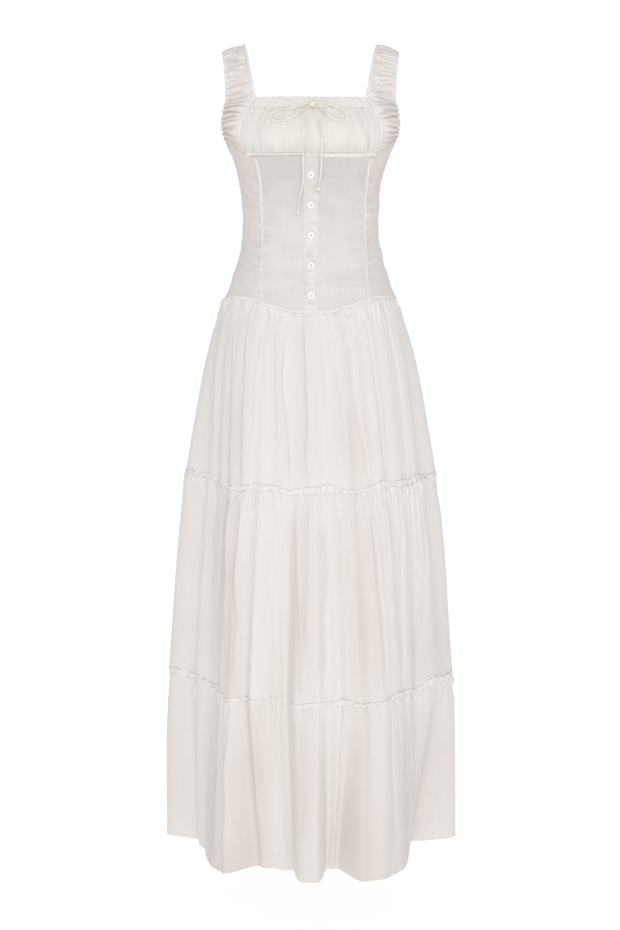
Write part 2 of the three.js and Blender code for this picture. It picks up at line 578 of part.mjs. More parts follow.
// Each stretch of ribbon, as points across (x) and up (z) on the front. out lifts a point further.
const RIBBONS = {
  bow_loop_right: [
    { x: -2.6, z: -94.5, out: 2.2 }, { x: -16, z: -99, out: 4 }, { x: -34, z: -103, out: 4 },
    { x: -52, z: -106, out: 3 }, { x: -64, z: -110, out: 2 }, { x: -68, z: -116, out: 2 },
    { x: -63, z: -122, out: 2 }, { x: -50, z: -124, out: 2 }, { x: -35, z: -120, out: 2 },
    { x: -20, z: -112, out: 3 }, { x: -3.6, z: -100.5, out: 2.4 },
  ],
  bow_loop_left: [
    { x: 8.4, z: -94, out: 2.2 }, { x: 20, z: -94, out: 4 }, { x: 36, z: -98, out: 4 },
    { x: 50, z: -105, out: 3 }, { x: 57, z: -113, out: 2 }, { x: 55, z: -121, out: 2 },
    { x: 46, z: -123, out: 2 }, { x: 35, z: -118, out: 2 }, { x: 24, z: -110, out: 3 },
    { x: 9.2, z: -100.5, out: 2.4 },
  ],
  ribbon_end_right: [
    { x: -1.5, z: -104.5, out: 2 }, { x: -8, z: -115, out: 1 }, { x: -11, z: -135, out: 0 },
    { x: -12, z: -158, out: 0 }, { x: -12.5, z: -180, out: 1 }, { x: -12, z: -205, out: 2 },
    { x: -13, z: -228, out: 0 }, { x: -17, z: -245, out: -1 }, { x: -20, z: -260, out: -2 },
    { x: -21, z: -272, out: -2 },
  ],
  ribbon_end_left: [
    { x: 7.5, z: -104.5, out: 2 }, { x: 14, z: -114, out: 1 }, { x: 17, z: -135, out: 0 },
    { x: 18.5, z: -158, out: 0 }, { x: 18.5, z: -180, out: 1 }, { x: 18, z: -200, out: 2 },
    { x: 16, z: -218, out: 1 }, { x: 13.5, z: -233, out: 0 },
  ],
};
const RIBBON_STEPS = { bow_loop_right: 18, bow_loop_left: 16, ribbon_end_right: 18, ribbon_end_left: 14 };

for (const [name, points] of Object.entries(RIBBONS)) {
  const path = new RibbonPath(points.map((p) => new THREE.Vector3(p.x, frontY(p.x, p.z) - p.out, p.z)));
  const options = { steps: RIBBON_STEPS[name], extrudePath: path };
  add(name, new THREE.ExtrudeGeometry(ribbonSection(), options), SATIN);
}

function knot(name, { x, z, rx, ry, rz }, lift) {
  const ball = add(name, new THREE.SphereGeometry(1, 12, 8), SATIN);
  ball.scale.set(rx, ry, rz);
  ball.position.set(x, frontY(x, z) - lift, z);
}

knot("bow_knot", KNOT, 1.7);
knot("ribbon_knot_right", { x: -21.3, z: -275, rx: 2.6, ry: 1.8, rz: 2.4 }, -2);
knot("ribbon_knot_left", { x: 12.8, z: -236, rx: 2.6, ry: 1.8, rz: 2.4 }, 0);

export default dress;
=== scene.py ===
import math

import bmesh
import bpy
import numpy as np
from mathutils import Matrix, Vector


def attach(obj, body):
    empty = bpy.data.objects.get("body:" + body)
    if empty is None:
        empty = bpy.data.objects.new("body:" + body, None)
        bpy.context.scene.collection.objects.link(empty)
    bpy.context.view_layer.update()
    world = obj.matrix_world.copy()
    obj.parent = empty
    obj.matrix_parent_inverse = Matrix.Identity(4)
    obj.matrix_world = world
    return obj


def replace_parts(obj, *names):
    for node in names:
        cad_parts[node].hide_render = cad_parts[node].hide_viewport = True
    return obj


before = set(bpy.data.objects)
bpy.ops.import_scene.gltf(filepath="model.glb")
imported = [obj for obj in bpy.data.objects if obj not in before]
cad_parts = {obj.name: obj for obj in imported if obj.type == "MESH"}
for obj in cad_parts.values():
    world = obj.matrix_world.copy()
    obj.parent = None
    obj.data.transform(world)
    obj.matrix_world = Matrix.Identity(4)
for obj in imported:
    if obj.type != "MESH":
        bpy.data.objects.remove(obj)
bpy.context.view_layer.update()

# The camera stands 3.14 m in front of the dress, a quarter of a metre below the shoulders, and looks
# 8.4 degrees down at it.
CAMERA_PLACE, LOOKS_DOWN = (-0.001, -3.14, -0.254), 8.43
camera = bpy.data.objects.new("camera", bpy.data.cameras.new("camera"))
bpy.context.collection.objects.link(camera)
camera.data.lens = 69.25
camera.data.sensor_width = 36
camera.location = CAMERA_PLACE
camera.rotation_euler = (math.radians(90 - LOOKS_DOWN), 0, 0)
bpy.context.scene.camera = camera

# The drawstring is a soft satin ribbon 4 mm wide, which rolls to 2.7 mm. It leaves the neck casing at
# the centre front, is tied in a bow, and its two ends hang over the bodice, each with a small knot.

# It lies on the hollow form that the whole dress is cut for: rows of level, half width, depth in
# front, depth behind and roundness, in millimetres.
Z, HALF, FRONT, BACK, ROUND = range(5)
FORM = np.array([
    (-50, 143, 88, 88, 2.6), (-84, 149, 98, 94, 2.6), (-130, 154, 108, 97, 2.6),
    (-157, 146, 106, 95, 2.5), (-180, 136, 101, 92, 2.4), (-227, 122, 92, 86, 2.3),
    (-285, 117.5, 87, 84, 2.2), (-323, 119, 89, 88, 2.2), (-371, 130, 98, 100, 2.2),
    (-420, 147.5, 110, 114, 2.15), (-448, 159, 117, 121, 2.1), (-494, 175, 129, 133, 2.05),
    (-543, 187.5, 139, 142, 2), (-617, 202, 151, 153, 2), (-735, 222, 168, 169, 2),
    (-869, 238, 180, 181, 2), (-1023, 250, 189, 189, 2), (-1102, 256, 193, 192, 2),
    (-1231, 261.5, 199, 196, 2), (-1420, 263.5, 204, 200, 2),
])
# How far the gathered bust panel fills out from the form, by level.
PUFF = np.array([(-84, 0.6), (-104, 2), (-125, 8), (-150, 11), (-168, 9), (-175, 4)])
BUST_HEM_Z = -175


def column(table, at, which):
    # The table's column at any level between its rows, smoothly. The first column holds the levels.
    keys, values = table[:, 0], table[:, which]
    if keys[0] > keys[-1]:
        keys, values = keys[::-1], values[::-1]
    slopes = np.gradient(values, keys)
    slopes[1:-1] = (values[2:] - values[:-2]) / (keys[2:] - keys[:-2])
    at = np.clip(at, keys[0], keys[-1])
    i = np.clip(np.searchsorted(keys, at, side="right") - 1, 0, len(keys) - 2)
    span = keys[i + 1] - keys[i]
    t = (at - keys[i]) / span
    ends = values[i] * (1 + 2 * t) * (1 - t) ** 2 + values[i + 1] * t * t * (3 - 2 * t)
    return ends + span * (slopes[i] * t * (1 - t) ** 2 - slopes[i + 1] * t * t * (1 - t))


def form_radius(angle, z):
    s, c = np.sin(np.radians(angle)), np.cos(np.radians(angle))
    depth = np.where(c > 0, column(FORM, z, FRONT), column(FORM, z, BACK))
    n = column(FORM, z, ROUND)
    return ((np.abs(s) / column(FORM, z, HALF)) ** n + (np.abs(c) / depth) ** n) ** (-1 / n)


def polar(angle, radius, z):
    turn = np.radians(angle)
    x, y, z = np.broadcast_arrays(radius * np.sin(turn), -radius * np.cos(turn), z)
    return np.stack([x, y, z], axis=-1)


def on_form(angle, z, out=0):
    return polar(angle, form_radius(angle, z) + out, z)


def depth_at(x, z, face=FRONT):
    n = column(FORM, z, ROUND)
    share = np.minimum(np.abs(x) / column(FORM, z, HALF), 0.9999)
    return column(FORM, z, face) * (1 - share ** n) ** (1 / n)


def angle_at(x, z, behind=False):
    # The angle round the form, from the centre front towards the wearer's left.
    return np.degrees(np.arctan2(x, -depth_at(x, z, BACK) if behind else depth_at(x, z)))


RIBBON_CLEAR, BELOW_BUST_CLEAR, BELOW_BUST_FALL, FULLEST_Z = 3, 8, 60, -160


def front_y(x, z):
    # The ribbon lies clear of the gathers, and hangs further out from the bodice below the bust.
    under = np.clip((BUST_HEM_Z - z) / BELOW_BUST_FALL, 0, 1)
    puff = column(PUFF, np.maximum(z, FULLEST_Z), 1)
    return on_form(angle_at(x, z), z, RIBBON_CLEAR + puff * (1 - under) + BELOW_BUST_CLEAR * under)[..., 1]


RIBBON_WIDTH, RIBBON_THICK = 2.7, 0.25
# Each stretch of ribbon as points across, up and further out, on the front of the dress.
RIBBON_ROUTES = {
    "bow_loop_right": [(-2.6, -94.5, 2.2), (-16, -99, 4), (-34, -103, 4), (-52, -106, 3), (-64, -110, 2),
                       (-68, -116, 2), (-63, -122, 2), (-50, -124, 2), (-35, -120, 2), (-20, -112, 3),
                       (-3.6, -100.5, 2.4)],
    "bow_loop_left": [(8.4, -94, 2.2), (20, -94, 4), (36, -98, 4), (50, -105, 3), (57, -113, 2),
                      (55, -121, 2), (46, -123, 2), (35, -118, 2), (24, -110, 3), (9.2, -100.5, 2.4)],
    "ribbon_end_right": [(-1.5, -104.5, 2), (-8, -115, 1), (-11, -135, 0), (-12, -158, 0), (-12.5, -180, 1),
                         (-12, -205, 2), (-13, -228, 0), (-17, -245, -1), (-20, -260, -2), (-21, -272, -2)],
    "ribbon_end_left": [(7.5, -104.5, 2), (14, -114, 1), (17, -135, 0), (18.5, -158, 0), (18.5, -180, 1),
                        (18, -200, 2), (16, -218, 1), (13.5, -233, 0)],
}


def smooth_route(points, per_span=12):
    p = np.vstack([2 * points[0] - points[1], points, 2 * points[-1] - points[-2]])
    t = np.linspace(0, 1, per_span, endpoint=False)[:, None]
    spans = [0.5 * (2 * b + (c - a) * t + (2 * a - 5 * b + 4 * c - d) * t ** 2
                    + (3 * b - a - 3 * c + d) * t ** 3)
             for a, b, c, d in zip(p, p[1:], p[2:], p[3:])]
    return np.vstack([*spans, points[-1:]])


def into_piece(shape, name):
    mesh = bpy.data.meshes.new(name)
    shape.to_mesh(mesh)
    shape.free()
    piece = bpy.data.objects.new(name, mesh)
    bpy.context.collection.objects.link(piece)
    return piece, mesh


def sheet_mesh(name, across, down, place, round_about=False):
    # A grid of cloth. place gives each point's position in millimetres, its place on the flat cut in
    # metres, which the weave follows, and for some pieces how much painted shade darkens its colour.
    grid = bmesh.new()
    bmesh.ops.create_grid(grid, x_segments=across, y_segments=down, size=1)
    piece, mesh = into_piece(grid, name)
    flat = np.empty(len(mesh.vertices) * 3)
    mesh.vertices.foreach_get("co", flat)
    flat = flat.reshape(-1, 3)
    points, cut, *shade = place((flat[:, 0] + 1) / 2, (1 - flat[:, 1]) / 2)
    mesh.vertices.foreach_set("co", (points * 0.001).ravel())
    corner = np.empty(len(mesh.loops), int)
    mesh.loops.foreach_get("vertex_index", corner)
    mesh.uv_layers.new(name="cut").data.foreach_set("uv", cut[corner].ravel())
    if shade:
        mesh.attributes.new("shade", "FLOAT", "POINT").data.foreach_set("value", shade[0])
    if round_about:
        joined = bmesh.new()
        joined.from_mesh(mesh)
        bmesh.ops.remove_doubles(joined, verts=joined.verts, dist=1e-6)
        joined.to_mesh(mesh)
        joined.free()
    mesh.shade_smooth()
    return piece


def give_thickness(piece, millimetres, offset=-1):
    wall = piece.modifiers.new("cloth thickness", "SOLIDIFY")
    wall.thickness = millimetres * 0.001
    wall.offset = offset
    return piece


def dress_piece(piece, material, slot, *nodes):
    piece.data.materials.append(material)
    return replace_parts(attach(piece, "root"), *nodes)


def new_material(name, colour, roughness):
    material = bpy.data.materials.new(name)
    material.use_nodes = True
    shader = material.node_tree.nodes["Principled BSDF"]
    shader.inputs["Base Color"].default_value = (*colour, 1)
    shader.inputs["Roughness"].default_value = roughness
    return material, material.node_tree, shader


def node(tree, kind, **inputs):
    made = tree.nodes.new(kind)
    for key, value in inputs.items():
        made.inputs[key.replace("_", " ")].default_value = value
    return made


def threads(tree, cut, pitch, direction):
    wave = node(tree, "ShaderNodeTexWave", Scale=math.pi / 10 / pitch, Distortion=0.6, Detail=1.0)
    wave.bands_direction = direction
    tree.links.new(cut.outputs["UV"], wave.inputs["Vector"])
    return wave.outputs["Fac"]


satin, tree, shader = new_material("cream satin ribbon", (0.79, 0.752, 0.665), 0.42)
shader.inputs["Sheen Weight"].default_value = 0.15
shader.inputs["Anisotropic"].default_value = 0.5
cut = tree.nodes.new("ShaderNodeUVMap")
cut.uv_map = "cut"
ribs = node(tree, "ShaderNodeBump", Strength=0.35, Distance=0.00008)
tree.links.new(threads(tree, cut, 0.0004, "X"), ribs.inputs["Height"])
tree.links.new(ribs.outputs["Normal"], shader.inputs["Normal"])


def lay_ribbon(name):
    route = np.array(RIBBON_ROUTES[name], float)
    x, z, out = route.T
    line = smooth_route(np.stack([x, front_y(x, z) - out, z], axis=1))
    along = np.gradient(line, axis=0)
    along /= np.linalg.norm(along, axis=1)[:, None]
    away = line * (0.6, 1, 0)
    away /= np.linalg.norm(away, axis=1)[:, None]
    side = np.cross(away, along)
    side /= np.linalg.norm(side, axis=1)[:, None]
    reach = np.concatenate([[0], np.cumsum(np.linalg.norm(np.diff(line, axis=0), axis=1))])
    face = np.cross(along, side)
    # The soft ribbon rolls a little as it goes, more in the bow than in the ends.
    roll = np.radians(50 if "loop" in name else 40) * np.sin(reach / 15 + len(name))
    side = side * np.cos(roll)[:, None] + face * np.sin(roll)[:, None]

    def place(u, v):
        i = np.rint(u * (len(line) - 1)).astype(int)
        across = (0.5 - v) * RIBBON_WIDTH
        curl = 0.15 * np.abs(2 * v - 1) ** 2
        return (line[i] + side[i] * across[:, None] + face[i] * curl[:, None],
                np.stack([across * 0.001, reach[i] * 0.001], axis=1))

    ribbon = sheet_mesh("satin_" + name, len(line) - 1, 6, place)
    give_thickness(ribbon, RIBBON_THICK, 0)
    soften = ribbon.modifiers.new("soft edges", "SUBSURF")
    soften.levels = soften.render_levels = 1
    dress_piece(ribbon, satin, "ribbon", name)
    return ribbon, line * 0.001, float(reach[-1]) * 0.001


def tie_knot(name, centre, radii, wraps):
    # A knot of ribbon: a ball pressed flat, with the turns of the ribbon standing out of it.
    ball = bmesh.new()
    bmesh.ops.create_uvsphere(ball, u_segments=40, v_segments=24, radius=1)
    for vertex in ball.verts:
        d = vertex.co.normalized()
        turn = math.atan2(d.z, d.x) * wraps + 5 * d.y + 2.2 * d.x
        bulge = 1 + 0.13 * math.sin(turn) * (1 - d.y ** 4) + 0.05 * math.sin(9 * d.x + 4 * d.z)
        vertex.co = [(c + r * k * bulge) * 0.001 for c, r, k in zip(centre, radii, d)]
    piece, mesh = into_piece(ball, "satin_" + name)
    mesh.uv_layers.new(name="cut")
    mesh.shade_smooth()
    return dress_piece(piece, satin, "ribbon", name)


END_KNOT = (3.1, 2.2, 2.9)
tie_knot("bow_knot", (3, float(front_y(3.0, -96.0)) - 1.7, -96), (5, 3.2, 5), 3)
end_knots = {
    "ribbon_end_right": tie_knot("ribbon_knot_right", (-21.3, float(front_y(-21.3, -275.0)) + 2, -275),
                                 END_KNOT, 2),
    "ribbon_end_left": tie_knot("ribbon_knot_left", (12.8, float(front_y(12.8, -236.0)), -236),
                                END_KNOT, 2),
}
for name in RIBBON_ROUTES:
    ribbon, line, length = lay_ribbon(name)

# The bust panel is cotton voile, gathered into the neck casing above and into a narrow band below.
# Between them it fills out and blouses a little over the band.
# Its side seams, by level and half width, leave a narrow gap to the straps.
BUST_SEAM = np.array([(-84, 93), (-101, 103.5), (-117, 112), (-134, 117), (-154, 117), (-178, 111)])
GAP = 0.03


def seam_angle(sign, z):
    return sign * angle_at(column(BUST_SEAM, z, 1), z)


def gap_angle(z):
    return np.degrees(GAP / form_radius(0, z))


def rumple(a, b, seed, wrap=256):
    # Smooth chance relief between -1 and 1, with one bump to a unit. It repeats along a after wrap.
    chance = np.random.default_rng(seed).uniform(-1, 1, (256, 256))
    i, j = np.floor(a).astype(int), np.floor(b).astype(int)
    s, t = a - i, b - j
    s, t = s * s * (3 - 2 * s), t * t * (3 - 2 * t)
    upper = chance[i % wrap, j % 256] * (1 - s) + chance[(i + 1) % wrap, j % 256] * s
    lower = chance[i % wrap, (j + 1) % 256] * (1 - s) + chance[(i + 1) % wrap, (j + 1) % 256] * s
    return upper * (1 - t) + lower * t


def fade(x, low, high):
    t = np.clip((x - low) / (high - low), 0, 1)
    return t * t * (3 - 2 * t)


def mound(x, middle, width):
    return np.exp(-((x - middle) / width) ** 2)


def rise(u, steepness):
    # From nothing at both edges to the full height beyond them.
    return np.minimum(1, steepness * np.minimum(u, 1 - u))


def cotton_material(name, colour, crinkle, painted_shade_tint=(0.925, 0.87, 0.86)):
    # Fine plain-woven cotton with slubs in its threads and the soft crinkle of a washed voile.
    material, tree, shader = new_material(name, colour, 0.92)
    shader.inputs["Sheen Weight"].default_value = 0.2
    shader.inputs["Sheen Roughness"].default_value = 0.6
    shader.inputs["Specular IOR Level"].default_value = 0.15
    link = tree.links.new
    cut = tree.nodes.new("ShaderNodeUVMap")
    cut.uv_map = "cut"

    def streaks(across, along, detail):
        stretch = tree.nodes.new("ShaderNodeMapping")
        stretch.inputs["Scale"].default_value = (across, along, 1)
        link(cut.outputs["UV"], stretch.inputs["Vector"])
        noise = node(tree, "ShaderNodeTexNoise", Scale=1.0, Detail=detail, Roughness=0.55)
        link(stretch.outputs["Vector"], noise.inputs["Vector"])
        return noise.outputs["Fac"]

    shades = tree.nodes.new("ShaderNodeValToRGB")
    shades.color_ramp.elements[0].position = 0.3
    shades.color_ramp.elements[1].position = 0.72
    shades.color_ramp.elements[0].color = (*[c * 0.955 for c in colour], 1)
    shades.color_ramp.elements[1].color = (*[min(1, c * 1.025) for c in colour], 1)
    both = node(tree, "ShaderNodeMath")
    both.operation = "ADD"
    part = node(tree, "ShaderNodeMath")
    part.operation = "MULTIPLY"
    part.inputs[1].default_value = 0.5
    link(streaks(70, 900, 2.0), both.inputs[0])
    link(streaks(420, 24, 2.0), both.inputs[1])
    link(both.outputs[0], part.inputs[0])
    link(part.outputs[0], shades.inputs["Fac"])
    # Painted shade: the piece's "shade" attribute darkens the colour towards the given tint.
    behind = tree.nodes.new("ShaderNodeAttribute")
    behind.attribute_name = "shade"
    darker = tree.nodes.new("ShaderNodeMixRGB")
    darker.blend_type = "MULTIPLY"
    darker.inputs["Color2"].default_value = (*painted_shade_tint, 1)
    link(behind.outputs["Fac"], darker.inputs["Fac"])
    link(shades.outputs["Color"], darker.inputs["Color1"])
    link(darker.outputs["Color"], shader.inputs["Base Color"])

    layers = [
        (streaks(230, 22, 3.0), 0.55, 0.0009 * crinkle),
        (streaks(90, 600, 2.0), 0.4, 0.00025),
        (threads(tree, cut, 0.00045, "X"), 0.3, 0.0001),
        (threads(tree, cut, 0.00050, "Y"), 0.3, 0.0001),
    ]
    below = None
    for height, strength, distance in layers:
        bump = node(tree, "ShaderNodeBump", Strength=strength, Distance=distance)
        link(height, bump.inputs["Height"])
        if below:
            link(below, bump.inputs["Normal"])
        below = bump.outputs["Normal"]
    link(below, shader.inputs["Normal"])
    return material


def sewn(name, across, down, place, thick, cotton, solid, round_about=False):
    sheet = give_thickness(sheet_mesh(name, across, down, place, round_about), thick)
    return dress_piece(sheet, cotton, "cotton", solid)


bust_cotton = cotton_material("gathered voile", (0.772, 0.745, 0.706), 1.0, (0.84, 0.83, 0.83))


# The line that the panel's cloth follows from the casing to the band: level and how far out.
BUST_FALL = np.array([(0, -101.2, 1.6), (0.12, -109, 3.4), (0.3, -122, 7.2), (0.5, -138, 10),
                      (0.7, -154, 11), (0.84, -166, 9.6), (0.92, -173, 7), (0.97, -175.8, 4.6),
                      (1, -175.6, 1.8)])
# The two longer creases that run up from its lower corners: where across, and how far they lean.
CORNER_CREASES = ((0.075, 0.1), (0.93, -0.08))
SEAM_FOOT_Z = -176


def between_straps(z, u, inset=0):
    left, right = seam_angle(-1, z) + gap_angle(z), seam_angle(1, z) - gap_angle(z)
    return left + (right - left) * (inset + (1 - 2 * inset) * u)


def bust_place(u, v):
    z = column(BUST_FALL, v, 1)
    out = column(BUST_FALL, v, 2)
    angle = between_straps(np.maximum(z, SEAM_FOOT_Z), u)
    edge = rise(u, 6)
    sway = 0.5 * rumple(u * 9, v * 2, 11)
    top = np.exp(-v / (0.26 + 0.16 * rumple(u * 17, 0, 12)))
    foot = np.exp(-(1 - v) / (0.24 + 0.12 * rumple(u * 19, 0, 13)))
    lower = 0.5 + 0.9 * np.abs(2 * u - 1)
    relief = (1.7 * top * rumple(u * 62 + sway, v * 1.5, 17)
              + 2.1 * foot * lower * rumple(u * 66 - sway, v * 1.5, 18)
              + 1.7 * rumple(u * 20 + sway, v * 1.3, 14) + 1.2 * rumple(u * 50, v * 3, 15)
              + 0.35 * rumple(u * 120, v * 14, 16))
    for corner, lean in CORNER_CREASES:
        line = corner + lean * (1 - v)
        relief -= 2.4 * mound(u, line, 0.011) * fade(v, 0.35, 0.7)
    out = edge * (out + relief)
    # Painted shade: darker in the valleys of the gathers, and towards the band where the panel blouses over
    # it.
    shade = 0.15 * (0.8 - relief) + 0.6 * fade(v, 0.66, 0.95)
    return on_form(angle, z, out), np.stack([u * 0.28, v * 0.09], axis=1), np.clip(shade, 0, 1)


bust_panel = sewn("voile_bust_panel", 300, 52, bust_place, 0.6, bust_cotton, "bust_panel")

# The neck casing is the panel's top edge, turned down and stitched as a tunnel for the drawstring.
# Its gathers make the edge of the square neck a little uneven.
NECK_Z, CASING_HEIGHT = -84, 17.15


def casing_place(u, v):
    wave = 0.9 * rumple(u * 40, 0, 21) + 0.5 * rumple(u * 90, 0, 22)
    z = NECK_Z + wave * (1 - v) - CASING_HEIGHT * v
    angle = between_straps(z, u, inset=0.004)
    body = np.sin(np.pi * np.clip(v * 1.12, 0, 1)) ** 0.6
    tuck = mound(v, 0.86, 0.05)
    gather = np.sin(2 * np.pi * (44 * u + 0.8 * rumple(u * 14, 0, 23)))
    out = (1.1 + 0.4 * body - 0.15 * tuck
           + (0.4 * gather + 1.1 * rumple(u * 62, v * 2, 24)) * (0.35 + 0.65 * body)
           + 0.2 * fade(v, 0.9, 1))
    edge = rise(u, 12)
    return on_form(angle, z, edge * out + 0.3), np.stack([u * 0.34, v * 0.02], axis=1)


neck_casing = sewn("neck_casing_tunnel", 360, 18, casing_place, 1.4, bust_cotton, "neck_casing")


# The band under the bust is a narrow bias strip that holds the gathers. On the wearer's left it has
# rolled down and shows below them.
band_cotton = cotton_material("cream bias band", (0.765, 0.74, 0.675), 0.5)


def band_place(u, v):
    first, last = float(seam_angle(-1, BUST_HEM_Z)) + 1, float(seam_angle(1, BUST_HEM_Z)) - 1
    angle = first + (last - first) * u
    rolled = fade(angle, 4, 14) * (1 - fade(angle, 40, 60))
    z = BUST_HEM_Z + 0.4 - (5.6 + 3.6 * rolled) * v + 0.4 * rumple(u * 50, v, 31)
    round_over = np.sin(np.pi * v) ** 0.5
    out = 0.1 + (1.2 + 0.7 * rolled) * round_over + 0.2 * rumple(u * 90, v * 2, 32)
    return on_form(angle, z, out), np.stack([u * 0.25, v * 0.006], axis=1)


band = sewn("underbust_bias_band", 260, 8, band_place, 0.9, band_cotton, "underbust_band")

# The straps are wide bands, ruched between two narrow casings. They run from the front of the
# underarm, beside the bust panel, over the shoulder to the back.
# Each row is a place along the strap: its inner and outer edge, across, up and deep, and how far it
# bulges. Without a depth, the inner edge lies on the form.
STRAP_AT, INNER_X, INNER_Z, INNER_Y, OUTER_X, OUTER_Z, OUTER_Y, CROWN = range(8)
STRAP = [
    (0, 112, -175, None, 145, -157, -20, 5), (1, 117, -134, None, 151, -134, -34, 8),
    (2, 112, -117, None, 150.5, -118, -41, 6), (3, 103.5, -101, None, 148.5, -103, -46, 5),
    (4, 93, -84, None, 144, -86, -50, 3), (5, 98, -58, -79, 144.5, -62, -50, 2),
    (6, 102, -34, -62, 146, -42, -44, 2), (7, 107, -8, -38, 149, -17, -30, 2),
    (8, 112, 7, -16, 151.5, -6, -12, 2), (9, 113, 8, 8, 152, -5, 8, 2),
    (10, 109, -7, 34, 149, -18, 28, 2), (11, 104, -36, 59, 146, -46, 44, 2),
    (12, 99, -70, 77, 142, -76, 53, 2), (13, 94, -102, 86, 137, -106, 58, 2.5),
    (14, 90, -131.5, 87, 133, -131.5, 62, 3),
]
STRAP = np.array([
    (*row[:3], -depth_at(row[INNER_X], row[INNER_Z]) if row[INNER_Y] is None else row[INNER_Y], *row[4:])
    for row in STRAP
], float)
# How closely it is ruched, from its foot beside the bust to its end behind.
RUCHED = np.array([(0, 0.1), (0.3, 1), (1.6, 1), (3.2, 1), (4.6, 0.35), (6, 0.15), (14, 0.1)])
STRAP_FOOT_Z, UNDERARM_ANGLE = -175.0, 82
strap_cotton = cotton_material("ruched strap cotton", (0.82, 0.785, 0.752), 0.7, (0.79, 0.745, 0.735))


def strap_edge(sign, at, x, y, z):
    return np.stack([sign * column(STRAP, at, x), column(STRAP, at, y), column(STRAP, at, z)], axis=-1)


def strap_place_for(sign, seed):
    def place(u, v):
        # u runs across from the inner edge on the wearer's left, and v down from the back.
        across = u if sign > 0 else 1 - u
        at = 14 * (1 - v)
        inner = strap_edge(sign, at, INNER_X, INNER_Y, INNER_Z)
        outer = strap_edge(sign, at, OUTER_X, OUTER_Y, OUTER_Z)
        sewn_to_bust = at < 4
        level = np.where(sewn_to_bust, column(STRAP, at, INNER_Z), NECK_Z)
        beside = on_form(seam_angle(sign, level) + sign * gap_angle(level), level)
        inner = np.where(sewn_to_bust[:, None], beside, inner)
        along = (strap_edge(sign, at + 0.05, INNER_X, INNER_Y, INNER_Z)
                 - strap_edge(sign, at - 0.05, INNER_X, INNER_Y, INNER_Z))
        face = np.cross(outer - inner, along) * -sign
        face /= np.linalg.norm(face, axis=1)[:, None]
        middle = fade(across, 0.06, 0.2) * (1 - fade(across, 0.84, 0.96))
        at_bust = column(RUCHED, at, 1)
        outer_half = fade(across, 0.06, 0.42)
        slant = 0.5 * (across - 0.5) + 0.5 * rumple(across * 2.5, at * 1.4, seed)
        phase = ((inner[:, 2] + outer[:, 2]) / 18 + 0.3 * across
                 + 0.7 * rumple(at * 1.6, across * 1.2, seed + 1))
        ruche = (2.6 * np.abs(np.sin(np.pi * phase)) ** 0.8 - 1.5
                 + 0.4 * rumple(at * 9, across * 3, seed + 2))
        # Wrinkles are rounded, with narrow valleys and a few pinched lines between them.
        broad = 0.6 - 2 * np.sqrt(rumple(at * 2.6 + slant, across * 1.1, seed + 3) ** 2 + 0.01)
        narrow = 0.5 - 2 * np.sqrt(rumple(at * 6 + slant * 2, across * 1.8, seed + 4) ** 2 + 0.02)
        pinched = mound(rumple(at * 3.4 + slant, across * 1.6, seed + 7), 0, 0.12)
        above = 1 - 0.7 * at_bust
        casing = mound(across, 0.05, 0.045) + mound(across, 0.95, 0.045)
        stitched = mound(across, 0.12, 0.02) + 0.6 * mound(across, 0.88, 0.02)
        bulge = 4 * across * (1 - across) * column(STRAP, at, CROWN)
        point = inner + (outer - inner) * across[:, None] - face * bulge[:, None]
        foot = seam_angle(sign, inner[:, 2]) + sign * gap_angle(inner[:, 2])
        held = on_form(foot + (sign * UNDERARM_ANGLE - foot) * across,
                       inner[:, 2] + (outer[:, 2] - inner[:, 2]) * across)
        point = held + (point - held) * fade(at, 0, 1)[:, None]
        wrinkles = (middle * above * (2.4 * broad + 1.5 * narrow - 1.3 * pinched)
                    + 1.7 * at_bust * outer_half * ruche
                    + casing * (0.3 + 0.4 * rumple(at * 10, across, seed + 5)) - 0.9 * stitched)
        wrinkles *= np.where(across < 0.02, 0.3, 1) * fade(at, 0, 0.15)
        scallop = outer_half * (0.7 * at_bust * ruche + 0.6 * rumple(at * 7, 0, seed + 6))
        scallop *= fade(at, 0, 0.3)
        outward = (outer - inner) / np.linalg.norm(outer - inner, axis=1)[:, None]
        point = point - face * wrinkles[:, None] + outward * scallop[:, None]
        # Painted shade: darker on the ruched part beside the bust, towards the foot, in the valleys of the
        # wrinkles, along the pinched lines and along the stitching.
        shade = (at_bust * fade(across, 0, 0.4) * (0.72 - 0.3 * ruche) + 0.6 * (1 - fade(at, 0, 1))
                 + middle * above * (0.13 * (0.5 - broad - narrow) + 0.5 * pinched) + 0.3 * stitched)
        return point, np.stack([across * 0.055, v * 0.45], axis=1), np.clip(shade, 0, 1)

    return place


for side, sign, seed in (("right", -1, 41), ("left", 1, 51)):
    strap = sewn("ruched_strap_" + side, 36, 260, strap_place_for(sign, seed), 1.1, strap_cotton,
                 "strap_" + side)

# The bodice front, sides and back are plain panels of the same cotton, cut close to the waist. They
# are joined by princess seams in front, and end in a drop waist that dips at the centre.
PRINCESS = np.array([(-178, -106, 108), (-190, -92, 101), (-254, -84, 94), (-340, -83, 95),
                     (-450, -85, 101)])
PLACKET_X, PLACKET_WIDTH, PLACKET_OUT = 0.8, 25.5, 0.9
UNDERBUST_Z, UNDERARM_Z, BACK_NECK_Z = -181, -157, -132
WAIST_SIDE_Z, WAIST_POINT, WAIST_TURN, SIDE_SEAM = -420, 22, (10, 60), 92
body_cotton = cotton_material("bodice cotton", (0.735, 0.7, 0.67), 0.6, (0.82, 0.82, 0.83))


def waist_z(angle):
    away = np.abs((angle + 180) % 360 - 180)
    return WAIST_SIDE_Z - WAIST_POINT * (1 - fade(away, *WAIST_TURN))


def princess_angle(side, z):
    return angle_at(column(PRINCESS, z, side), z)


def placket_angle(sign, z):
    return angle_at(PLACKET_X + sign * PLACKET_WIDTH / 2, z)


